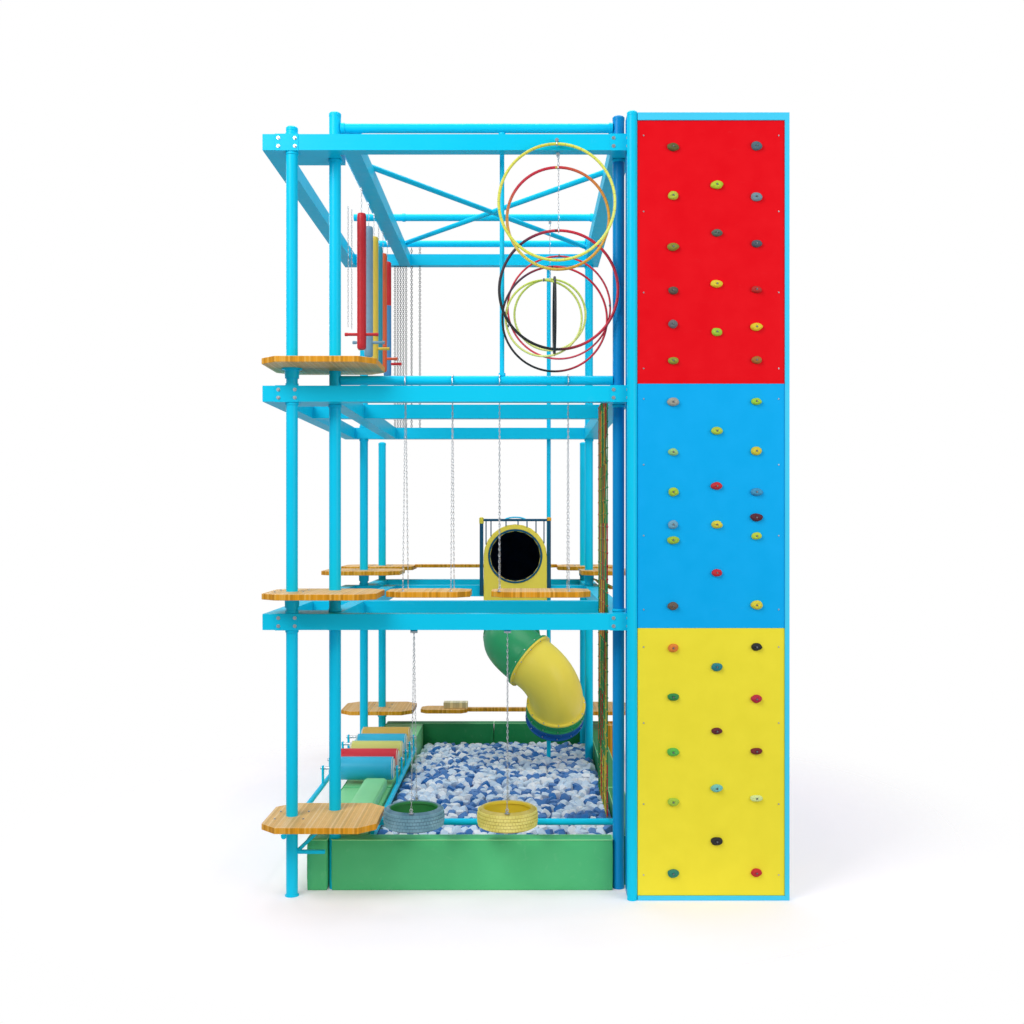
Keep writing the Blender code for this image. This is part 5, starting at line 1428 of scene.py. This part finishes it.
def add_rollers(sizes):
    for i, (tint, y, left) in enumerate(zip(ROLLER_TINTS, ROLLER_ROWS, ROLLER_LEFTS), 1):
        wide = ROLLER_RIGHT - left
        shape = Shape(48)
        start = [(0.008, 0.120), (0.014, 0.131), (0.026, 0.138)]
        body = start + [(wide * k / 12, ROLLER_RADIUS) for k in range(1, 12)]
        body += [(wide - along, radius) for along, radius in reversed(start)]
        shape.lathe((left, y, ROLLER_Z), (1, 0, 0), body)
        end = [(0.0, 0.030), (0.0, 0.108), (0.006, 0.116), (0.012, 0.118), (0.020, 0.040)]
        for x, way in ((left, 1), (ROLLER_RIGHT, -1)):
            shape.lathe((x, y, ROLLER_Z), (way, 0, 0), end, slot=1)
        for x in (left + 0.020, ROLLER_RIGHT - 0.020):
            shape.loop((x, y, ROLLER_Z), 0.1375, 0.0032, 1, 48, 6)
        under = ROLLER_Z - ROLLER_RADIUS + 0.0005
        seam = [(left + 0.03 + (wide - 0.06) * k / 20, y, under) for k in range(21)]
        shape.tube(seam, 0.003, 1, sides=6)
        finishes = [f"roller_{tint}_vinyl", "roller_end_vinyl"]
        body = f"turning_roller_{i}"
        shape.piece(f"roller_{i}_cover", finishes, body, (f"roller_{i}",))

    rails = Shape(28)
    front, rear, last, half = 0.35, 6.24, 4.80, 0.028
    under_board = GROUND_BOARD_TOP - BOARD_THICK - GAP
    rails.tube([(RAIL_LEFT_X, front, RAIL_Z), (RAIL_LEFT_X, rear, RAIL_Z)], 0.030)
    rails.tube([(RAIL_RIGHT_X, front, RAIL_Z), (RAIL_RIGHT_X, last, RAIL_Z)], 0.030)
    near, far = front + 0.03, rear - 0.05
    for x, y in ((RAIL_LEFT_X, near), (RAIL_RIGHT_X, near), (RAIL_LEFT_X, far)):
        rails.box((x - 0.02, y - half, RAIL_Z), (x + 0.02, y + half, under_board))
    nuts = []
    for y in ROLLER_ROWS:
        for x in (RAIL_LEFT_X, RAIL_RIGHT_X):
            rails.box((x - 0.012, y - half, RAIL_Z), (x + 0.012, y + half, ROLLER_Z + 0.03))
        axle = [(x, y, ROLLER_Z) for x in (RAIL_LEFT_X - 0.03, RAIL_RIGHT_X + 0.03)]
        rails.tube(axle, 0.018, slot=1)
        for x, way in ((RAIL_LEFT_X - 0.013, -1), (RAIL_RIGHT_X + 0.013, 1)):
            nuts.append(((x, y, ROLLER_Z), (way, 0, 0)))
    piece = rails.piece("roller_rails", ["frame_paint", "bolt_zinc"], stands_for=("roller_frame",))
    soften(piece, 0.004, 2)
    bolt_heads("axle_nuts", 0.030, nuts)


# Hanging tyres and planks

TYRE_LOW, TYRE_HIGH = 0.69, 0.89
TYRE_EYES = 0.269
TREAD_ROWS = (0.292, 0.298, 0.300, 0.298, 0.292)
TYRE_EYE_FOOT = (
    (-0.002, 0.0), (-0.002, 0.026), (0.003, 0.026), (0.004, 0.012), (0.022, 0.011), (0.024, 0.0),
)
PLANK_EYE_FOOT = (
    (-0.001, 0.0), (-0.001, 0.024), (0.004, 0.024), (0.005, 0.009), (0.018, 0.008), (0.018, 0.0),
)

# Half the section of a tyre: height from its edge, radius, and how much lies inside
TYRE_SECTION = (
    (0.030, 0.230, 1), (0.012, 0.234, 1), (0.002, 0.244, 0.2), (0.0, 0.256, 0),
    (0.010, 0.276, 0), (0.032, 0.291, 0), (0.060, 0.297, 0),
)


def add_tyres(sizes):
    hang_z = LOWER_BEAM_Z - GAP - 0.020
    profile = [(TYRE_LOW + up, radius, inside) for up, radius, inside in TYRE_SECTION]
    profile += [(TYRE_HIGH - up, radius, inside) for up, radius, inside in reversed(TYRE_SECTION)]
    profile += [(TYRE_HIGH - 0.034, 0.244, 1), (TYRE_LOW + 0.034, 0.244, 1)]
    values = [inside for *_, inside in profile]
    for i, (x, tint) in enumerate(((-1.11, "tyre_teal"), (-0.175, "tyre_yellow")), 1):
        body = f"hanging_tyre_{i}"
        shape = Shape(72)
        shape.upright(x, 0.0, [(z, r) for z, r, _ in profile], closed=True, values=values)
        # The body's darker rubber is painted shade in the grooves between the tread blocks
        finishes = [tint + "_rubber"]
        shape.piece(f"tyre_{i}_body", finishes, body, (f"tyre_{i}",), value_name="inside")
        spots, facings = [], []
        for row, radius in enumerate(TREAD_ROWS):
            z = TYRE_LOW + 0.036 + 0.032 * row
            for k in range(56):
                a = 2 * math.pi * (k + 0.5 * (row % 2)) / 56
                out = Vector((math.cos(a), math.sin(a), 0.0))
                spots.append(Vector((x, 0.0, z)) + out * radius)
                facings.append(out)
        tread_blocks(f"tyre_{i}_tread", tint + "_tread", spots, facings, body=body, takes=tint)
        fittings = Shape(20)
        fittings.tube([(x - 0.035, 0.0, hang_z), (x + 0.035, 0.0, hang_z)], 0.016)
        runs = []
        for y in (-TYRE_EYES, TYRE_EYES):
            runs.append(((x, y * 0.05, hang_z - 0.012), (x, y, TYRE_HIGH + 0.028)))
            fittings.lathe((x, y, TYRE_HIGH), (0, 0, 1), TYRE_EYE_FOOT)
            fittings.loop((x, y, TYRE_HIGH + 0.030), 0.014, 0.004, first=(1, 0, 0))
        chain(sizes, f"tyre_{i}_chain", runs, body)
        fittings.piece(f"tyre_{i}_eyes", ["bolt_zinc"], body, takes="frame_blue")


def cut_corners(x, y, width, depth, corner):
    """The plan of a board with its corners cut off."""
    w, d = width / 2, depth / 2
    plan = (
        (-w + corner, -d), (w - corner, -d), (w, -d + corner), (w, d - corner),
        (w - corner, d), (-w + corner, d), (-w, d - corner), (-w, -d + corner),
    )
    return [(x + px, y + py) for px, py in plan]


def add_planks(sizes):
    hang_z = UPPER_RAIL_Z - FRONT_RAIL_RADIUS - GAP - 0.020
    y, top = INNER_FRONT_Y, LOWER_BOARD_TOP
    planks = ((-1.40, -0.55, (-1.22, -0.74)), (-0.34, 0.66, (-0.26, 0.44)))
    for i, (left, right, columns) in enumerate(planks, 1):
        body = f"hanging_plank_{i}"
        shape = Shape()
        plan = cut_corners((left + right) / 2, y, right - left, 0.60, 0.128)
        shape.slab(plan, top - BOARD_THICK, top)
        board = shape.piece(f"swing_plank_{i}_wood", ["board_wood"], body, (f"swing_plank_{i}",))
        soften(board, sizes.board_round)
        runs = []
        fittings, loops = Shape(20), Shape(20)
        for x in columns:
            loops.loop((x, y, UPPER_RAIL_Z - 0.012), 0.070, 0.007, count=24, sides=10)
            for side in (-1, 1):
                edge = y + side * 0.252
                runs.append(((x, y + side * 0.01, hang_z - 0.03), (x, edge, top + 0.030)))
                fittings.lathe((x, edge, top), (0, 0, 1), PLANK_EYE_FOOT)
                fittings.loop((x, edge, top + 0.028), 0.012, 0.004)
        chain(sizes, f"plank_{i}_chain", runs, body)
        fittings.piece(f"plank_{i}_eyes", ["bolt_zinc"], body, takes="frame_blue")
        loops.piece(f"plank_{i}_rail_loops", ["bolt_zinc"], takes="frame_blue")


# Hoops, poles and net

# Tape, the hoop's y, x, z and radius, then the height and the two ends of its eye
HOOPS = (
    ("tape_yellow", -0.120, 0.315, 6.90, 0.575, 7.51, -0.1403, -0.0703),
    ("tape_gold_red", 0.0, 0.33, 6.77, 0.51, 7.4097, -0.025, 0.025),
    ("tape_red_black", 0.120, 0.34, 6.08, 0.60, 7.51, 0.0703, 0.1403),
    ("tape_lime", ROOF_MID_Y, 0.33, 6.47, 0.47, 7.6881, 3.575, 3.625),
)
THIN_RINGS = (
    ("thin_red_ring", "tape_red", (0.345, 0.168, 5.91), 0.52, 0.010, (1, 0, 0), "hoop_red"),
    ("small_lime_ring", "tape_lime", (0.19, 0.158, 5.80), 0.385, 0.011, (1, 0, 0), "hoop_lime"),
    ("large_dark_ring", "tape_red_black", (0.30, 0.146, 5.79), 0.53, 0.011, (1, 0, 0), "hoop_red"),
    ("turned_black_ring", "tape_black", (0.300, 0.215, 5.83), 0.39, 0.012, (0, -1, 0), "hoop_red"),
)
RING_TIES = ((0.345, 6.43), (0.19, 6.185), (0.86, 5.93), (-0.17, 5.72))


def hoop(name, tape, centre, radius, wire, side, body, **options):
    """A closed hoop, with how far round each point lies."""
    shape = Shape()
    count = 96
    path = circle(centre, radius, count, (0, 0, 1), side)
    shape.tube(path, wire, sides=14, closed=True, values=[k / count for k in range(count)])
    shape.piece(name, [tape], body, value_name="turn", **options)


def add_hoops(sizes):
    for i, (tape, y, x, z, radius, hang_z, front, rear) in enumerate(HOOPS, 1):
        name = f"hoop_{i}"
        body = f"hanging_{name}"
        hoop(f"{name}_ring", tape, (x, y, z), radius, 0.0145, (1, 0, 0), body, stands_for=(name,))
        fittings = Shape(20)
        fittings.tube([(x, front, hang_z), (x, rear, hang_z)], PEG_RADIUS)
        fittings.tube([(x, y, hang_z), (x, y, hang_z - 0.05)], 0.008, sides=12)
        fittings.loop((x, y, z + radius), 0.021, 0.005)
        fittings.piece(f"{name}_eye", ["bolt_zinc"], body, takes="frame_blue")
        run = ((x, y, hang_z - 0.03), (x, y, z + radius + 0.018))
        chain(sizes, f"{name}_chain", [run], body)
    for name, tape, centre, radius, wire, side, slot in THIN_RINGS:
        hoop(name, tape, centre, radius, wire, side, "hanging_hoop_3", takes=slot)
    ties = Shape(12)
    for x, z in RING_TIES:
        tie = [(-0.035, 0.0), (-0.035, 0.010), (0.035, 0.010), (0.035, 0.0)]
        ties.lathe((x, 0.140, z), (0, 1, 0), tie)
    ties.piece("ring_ties", ["dark_steel"], "hanging_hoop_3", takes="frame_blue")


POLES = ((2.10, "red"), (2.70, "grey"), (3.20, "yellow"), (4.10, "orange"), (4.60, "red"))
SPLIT_POLE = 5


def sleeve(low, high, laps=1):
    """The profile of a padded sleeve with rounded ends, and the laps of its cover."""
    ends = ((0.0, 0.0), (0.0, 0.030), (0.006, 0.046), (0.025, 0.0535))
    profile = [(low + along, radius) for along, radius in ends]
    for k in range(1, laps):
        along = low + (high - low) * k / laps
        profile += [(along - 0.012, 0.054), (along, 0.0532), (along + 0.012, 0.054)]
    return profile + [(high - along, radius) for along, radius in reversed(ends)]


def add_poles(sizes):
    hang_z = ROOF_RAIL_Z - 0.0466 * math.cos(math.pi / 16) - 2 * GAP - 0.020
    x, top, bottom = INNER_LEFT_X, 7.40, 5.78
    profile = sleeve(bottom, top, 16)
    for i, (y, tint) in enumerate(POLES, 1):
        body = f"hanging_pole_{i}"
        finish = f"pole_{tint}_vinyl"
        finishes = [finish]
        shape = Shape(32)
        if i == SPLIT_POLE:
            finishes.append("pole_blue_vinyl")
            shape.upright(x, y, profile[:32], slot=1)
            shape.upright(x, y, profile[31:])
        else:
            shape.upright(x, y, profile)
        pad = shape.piece(f"pole_{i}_pad", finishes, body, (f"padded_pole_{i}",))
        steel = Shape(20)
        z = bottom + 0.18
        steel.tube([(x - 0.20, y, z), (x + 0.20, y, z)], PEG_RADIUS, 2)
        cap = [(-0.02, 0.018), (-0.02, 0.021), (0.012, 0.021), (0.015, 0.015), (0.015, 0.0)]
        for end in (-1, 1):
            steel.lathe((x + end * 0.185, y, z), (end, 0, 0), cap, slot=2)
        steel.tube([(x, y - 0.025, hang_z), (x, y + 0.025, hang_z)], PEG_RADIUS)
        steel.tube([(x, y, hang_z), (x, y, hang_z - 0.045)], 0.008, sides=12)
        finishes = ["bolt_zinc", "dark_steel", finish]
        steel.piece(f"pole_{i}_steel", finishes, body, takes="frame_blue")
        chain(sizes, f"pole_{i}_chain", [((x, y, hang_z - 0.03), (x, y, top - 0.01))], body)


def grid_edges(across, up):
    """The edges of a grid of points, row by row."""
    row = across + 1
    edges = [(j * row + i, j * row + i + 1) for j in range(up + 1) for i in range(across)]
    return edges + [(j * row + i, (j + 1) * row + i) for j in range(up) for i in range(row)]


def add_net(sizes):
    low_y, high_y = 0.37, 1.69
    low_z, high_z = 0.69, 5.045
    across = round((high_y - low_y) / sizes.net_cell)
    up = round((high_z - low_z) / sizes.net_cell)
    x = FRAME_RIGHT - 0.202 - GAP - 0.010
    points = []
    for j in range(up + 1):
        for i in range(across + 1):
            y = low_y + (high_y - low_y) * i / across
            z = low_z + (high_z - low_z) * j / up
            place = Vector((x, y, z))
            if 0 < i < across and 0 < j < up:
                give = Vector((y * 2.1, z * 2.1, 4.0))
                place.x -= 0.012 * abs(noise.noise(give))
                place.y += 0.018 * noise.noise(give * 1.7)
                place.z += 0.018 * noise.noise(give * 2.3)
            points.append(place)
    edges = grid_edges(across, up)
    ropes("net_ropes", sizes.net_strand, points, edges, stands_for=("rope_net",))


# Pieces that the solids leave out


def add_extras(sizes):
    """A sixth pole, the spare chains, the balance beam, the net deck, the steps and a pad."""
    pole = Shape(32)
    x, y, low, high = INNER_LEFT_X, 3.65, 5.80, 7.38
    pole.upright(x, y, sleeve(low, high))
    pole.piece("teal_pole_pad", ["pole_teal_vinyl"], takes="frame_blue")
    chain(sizes, "teal_pole_chain", [((x, y, ROOF_RAIL_Z - 0.06), (x, y, high))])

    columns = (-1.88, -1.84, -1.80, -1.76, -1.72, -1.64, -1.52)
    foot = UPPER_BEAM_Z + BEAM_HEIGHT
    runs = [((x, REAR_Y, 7.68), (x, REAR_Y, foot)) for x in columns]
    chain(sizes, "chain_curtain", runs, finish="dark_steel", heavier=2.0)
    runs = [((x, y, 7.36), (x, y, 6.0)) for x, y in ((-2.04, 1.72), (-2.02, 1.86))]
    chain(sizes, "spare_chains", runs)

    walk = Shape()
    walk.slab(cut_corners(-1.28, BACK_Y, 0.74, 0.40, 0.09), 0.72, 0.78)
    walk.box((-0.92, BACK_Y - 0.05, 0.725), (0.72, BACK_Y + 0.05, 0.785))
    walk.slab(cut_corners(-0.62, BACK_Y, 2.26, 0.16, 0.05), 3.01, 3.06)
    soften(walk.piece("balance_beam", ["board_wood"], takes="wood"), sizes.board_round)
    block = Shape()
    block.box((-1.29, BACK_Y - 0.08, 0.781), (-0.91, BACK_Y + 0.10, 0.875))
    soften(block.piece("balance_block", ["pale_wood"], takes="wood"), 0.006)

    across, deep = 6, 7
    deck = []
    for j in range(deep + 1):
        for i in range(across + 1):
            right, back = i / across, j / deep
            sag = 0.05 * math.sin(math.pi * right) * math.sin(math.pi * back)
            deck.append((0.99 + 0.36 * right, 4.80 + 0.44 * back, 2.91 - 0.15 * right - sag))
    ropes("net_deck", 0.012, deck, grid_edges(across, deep), takes="net_green")
    stairs = Shape()
    for k in range(3):
        stairs.box((1.215, 5.72, 0.32 + 0.14 * k), (1.40, 6.06, 0.35 + 0.14 * k))
    for y in (5.70, 6.06):
        stairs.box((1.22, y, 0.0), (1.385, y + 0.022, 0.66))
    soften(stairs.piece("rear_steps", ["board_wood"], takes="wood"), 0.004)

    step = Shape()
    low, high = (-1.94, 0.72, PAD_HEIGHT), (-1.66, 2.34, PAD_HEIGHT + 0.13)
    cushion(step, low, high, 0.09, 0.006, 0.045)
    step.piece("step_pad", ["pit_light_vinyl"], takes="pit_green")


# Stage

FLOOR_REACH = 30.0
FLOOR_Z = -0.001
FADE_START, FADE_END = 3.6, 6.4
LAMPS = (
    ("key", (-7.0, -11.0, 12.0), (0.0, -1.0, 3.5), 7.0, 1150.0),
    ("fill", (9.0, -10.0, 6.0), (0.5, -1.0, 3.0), 8.0, 520.0),
    ("top", (0.0, 1.0, 15.0), (0.0, 0.0, 0.0), 9.0, 950.0),
    ("rim", (-8.0, 9.0, 9.0), (0.0, 0.0, 3.0), 6.0, 300.0),
)


def add_floor():
    """A pale floor that clears away from the part."""
    f = Finish("floor_paint")
    f.set(Base_Color=(0.91, 0.84, 0.865, 1.0), Roughness=0.85)
    f.set(Emission_Color=(1.0, 1.0, 1.0, 1.0), Emission_Strength=0.14)
    away = f.add("VectorMath", operation="LENGTH")
    f.give(away.inputs[0], f.add("TexCoord").outputs["Object"])
    edge = f.add("MapRange", interpolation_type="SMOOTHSTEP")
    f.give(edge.inputs["Value"], away.outputs["Value"])
    f.give(edge.inputs["From Min"], FADE_START)
    f.give(edge.inputs["From Max"], FADE_END)
    fade = f.add("MixShader")
    sources = (edge.outputs["Result"], f.surface.outputs[0], f.add("BsdfTransparent").outputs[0])
    for socket, source in zip(fade.inputs, sources):
        f.give(socket, source)
    f.give(f.tree.nodes["Material Output"].inputs["Surface"], fade.outputs[0])
    mesh = bpy.data.meshes.new("floor")
    plan = ((-1, -1), (1, -1), (1, 1), (-1, 1))
    points = [(FLOOR_REACH * x, FLOOR_REACH * y, FLOOR_Z) for x, y in plan]
    mesh.from_pydata(points, [], [(0, 1, 2, 3)])
    mesh.materials.append(f.material)
    ground = bpy.data.objects.new("floor", mesh)
    bpy.context.scene.collection.objects.link(ground)


def add_world():
    """A white backdrop that lights the part with a soft, slightly blue sky."""
    world = bpy.data.worlds.new("studio")
    bpy.context.scene.world = world
    world.use_nodes = True
    nodes, links = world.node_tree.nodes, world.node_tree.links
    nodes.clear()
    choose = nodes.new("ShaderNodeMixShader")
    path = nodes.new("ShaderNodeLightPath")
    links.new(path.outputs["Is Camera Ray"], choose.inputs[0])
    skies = ((0.84, 0.92, 1.0, 1.0), 0.45), ((1.0, 1.0, 1.0, 1.0), 1.0)
    for index, (tint, strength) in enumerate(skies, 1):
        light = nodes.new("ShaderNodeBackground")
        light.inputs["Color"].default_value = tint
        light.inputs["Strength"].default_value = strength
        links.new(light.outputs[0], choose.inputs[index])
    links.new(choose.outputs[0], nodes.new("ShaderNodeOutputWorld").inputs["Surface"])


def add_stage():
    """A floor and a sky, a camera at the height of the first storey, and soft lights."""
    scene = bpy.context.scene
    scene.view_settings.view_transform = "Standard"
    add_floor()
    add_world()
    for name, place, aim, size, power in LAMPS:
        lamp = bpy.data.lights.new(name, "AREA")
        lamp.size = size
        lamp.energy = power
        light = bpy.data.objects.new(name, lamp)
        light.location = place
        way = Vector(aim) - Vector(place)
        light.rotation_euler = way.to_track_quat("-Z", "Y").to_euler()
        scene.collection.objects.link(light)
    lens = bpy.data.cameras.new("camera")
    lens.lens = 39.375
    lens.sensor_width = 36.0
    lens.shift_x = -0.0127
    lens.shift_y = 0.0092
    camera = bpy.data.objects.new("camera", lens)
    camera.location = (0.14, -14.51, 3.74)
    camera.rotation_euler = (math.pi / 2, 0.0, 0.0)
    scene.collection.objects.link(camera)
    scene.camera = camera


# The add-on: one operator for each group of pieces, one for the stage, and a panel


class CLIMB_OT_finishes(bpy.types.Operator):
    """Make every material of the climbing frame."""

    bl_idname = "climb.finishes"
    bl_label = "Finishes"

    def execute(self, context):
        make_finishes(context.scene.climb_colours, context.scene.climb_sizes)
        return {"FINISHED"}


class CLIMB_OT_posts(bpy.types.Operator):
    """Add the posts with their caps and foot plates, and a board bracket."""

    bl_idname = "climb.posts"
    bl_label = "Posts"

    def execute(self, context):
        add_posts(context.scene.climb_sizes)
        return {"FINISHED"}


class CLIMB_OT_beams(bpy.types.Operator):
    """Add the box beams, their sleeves and collars, and the roof brace."""

    bl_idname = "climb.beams"
    bl_label = "Beams"

    def execute(self, context):
        add_beams(context.scene.climb_sizes)
        return {"FINISHED"}


class CLIMB_OT_rails(bpy.types.Operator):
    """Add the round rails with their clamps."""

    bl_idname = "climb.rails"
    bl_label = "Rails"

    def execute(self, context):
        add_rails(context.scene.climb_sizes)
        return {"FINISHED"}


class CLIMB_OT_boards(bpy.types.Operator):
    """Add the laminated boards, their flanges and bolts."""

    bl_idname = "climb.boards"
    bl_label = "Boards"

    def execute(self, context):
        add_boards(context.scene.climb_sizes)
        return {"FINISHED"}


class CLIMB_OT_wall(bpy.types.Operator):
    """Add the climbing wall with its panels and cast holds."""

    bl_idname = "climb.wall"
    bl_label = "Climbing wall"

    def execute(self, context):
        add_wall(context.scene.climb_sizes)
        return {"FINISHED"}


class CLIMB_OT_pit(bpy.types.Operator):
    """Add the padded walls of the pit."""

    bl_idname = "climb.pit"
    bl_label = "Pit pads"

    def execute(self, context):
        add_pit(context.scene.climb_sizes)
        return {"FINISHED"}


class CLIMB_OT_foam(bpy.types.Operator):
    """Heap foam blocks in the pit."""

    bl_idname = "climb.foam"
    bl_label = "Foam blocks"

    def execute(self, context):
        add_foam(context.scene.climb_sizes)
        return {"FINISHED"}


class CLIMB_OT_slide(bpy.types.Operator):
    """Add the tube slide, its entrance and its guard rail."""

    bl_idname = "climb.slide"
    bl_label = "Tube slide"

    def execute(self, context):
        add_slide(context.scene.climb_sizes)
        return {"FINISHED"}


class CLIMB_OT_rollers(bpy.types.Operator):
    """Add the five rollers and the rails that carry them."""

    bl_idname = "climb.rollers"
    bl_label = "Roller bridge"

    def execute(self, context):
        add_rollers(context.scene.climb_sizes)
        return {"FINISHED"}


class CLIMB_OT_tyres(bpy.types.Operator):
    """Hang the two tyres on their chains."""

    bl_idname = "climb.tyres"
    bl_label = "Tyres"

    def execute(self, context):
        add_tyres(context.scene.climb_sizes)
        return {"FINISHED"}


class CLIMB_OT_planks(bpy.types.Operator):
    """Hang the two swinging planks on their chains."""

    bl_idname = "climb.planks"
    bl_label = "Swinging planks"

    def execute(self, context):
        add_planks(context.scene.climb_sizes)
        return {"FINISHED"}


class CLIMB_OT_hoops(bpy.types.Operator):
    """Hang the taped hoops."""

    bl_idname = "climb.hoops"
    bl_label = "Hoops"

    def execute(self, context):
        add_hoops(context.scene.climb_sizes)
        return {"FINISHED"}


class CLIMB_OT_poles(bpy.types.Operator):
    """Hang the padded poles."""

    bl_idname = "climb.poles"
    bl_label = "Padded poles"

    def execute(self, context):
        add_poles(context.scene.climb_sizes)
        return {"FINISHED"}


class CLIMB_OT_net(bpy.types.Operator):
    """Tie the rope net."""

    bl_idname = "climb.net"
    bl_label = "Rope net"

    def execute(self, context):
        add_net(context.scene.climb_sizes)
        return {"FINISHED"}


class CLIMB_OT_extras(bpy.types.Operator):
    """Add the pieces that the solids leave out."""

    bl_idname = "climb.extras"
    bl_label = "Extras"

    def execute(self, context):
        add_extras(context.scene.climb_sizes)
        return {"FINISHED"}


class CLIMB_OT_stage(bpy.types.Operator):
    """Set up the floor, the lights and the camera."""

    bl_idname = "climb.stage"
    bl_label = "Stage"

    def execute(self, context):
        add_stage()
        return {"FINISHED"}


STEPS = (
    CLIMB_OT_finishes,
    CLIMB_OT_posts,
    CLIMB_OT_beams,
    CLIMB_OT_rails,
    CLIMB_OT_boards,
    CLIMB_OT_wall,
    CLIMB_OT_pit,
    CLIMB_OT_foam,
    CLIMB_OT_slide,
    CLIMB_OT_rollers,
    CLIMB_OT_tyres,
    CLIMB_OT_planks,
    CLIMB_OT_hoops,
    CLIMB_OT_poles,
    CLIMB_OT_net,
    CLIMB_OT_extras,
    CLIMB_OT_stage,
)


class CLIMB_PT_panel(bpy.types.Panel):
    """Lists the sizes, the colours and the steps of the climbing frame."""

    bl_label = "Climbing Frame"
    bl_idname = "CLIMB_PT_panel"
    bl_space_type = "VIEW_3D"
    bl_region_type = "UI"
    bl_category = "Climbing Frame"

    def draw(self, context):
        column = self.layout.column(align=True)
        for group in (context.scene.climb_colours, context.scene.climb_sizes):
            for name in group.__annotations__:
                column.prop(group, name)
            column.separator()
        for step in STEPS:
            column.operator(step.bl_idname)


CLASSES = (ClimbColours, ClimbSizes, *STEPS, CLIMB_PT_panel)


def register():
    for item in CLASSES:
        bpy.utils.register_class(item)
    bpy.types.Scene.climb_colours = PointerProperty(type=ClimbColours)
    bpy.types.Scene.climb_sizes = PointerProperty(type=ClimbSizes)


def unregister():
    del bpy.types.Scene.climb_sizes
    del bpy.types.Scene.climb_colours
    for item in reversed(CLASSES):
        bpy.utils.unregister_class(item)


def main():
    register()
    for step in STEPS:
        group, name = step.bl_idname.split(".")
        getattr(getattr(bpy.ops, group), name)()


if __name__ == "__main__":
    main()
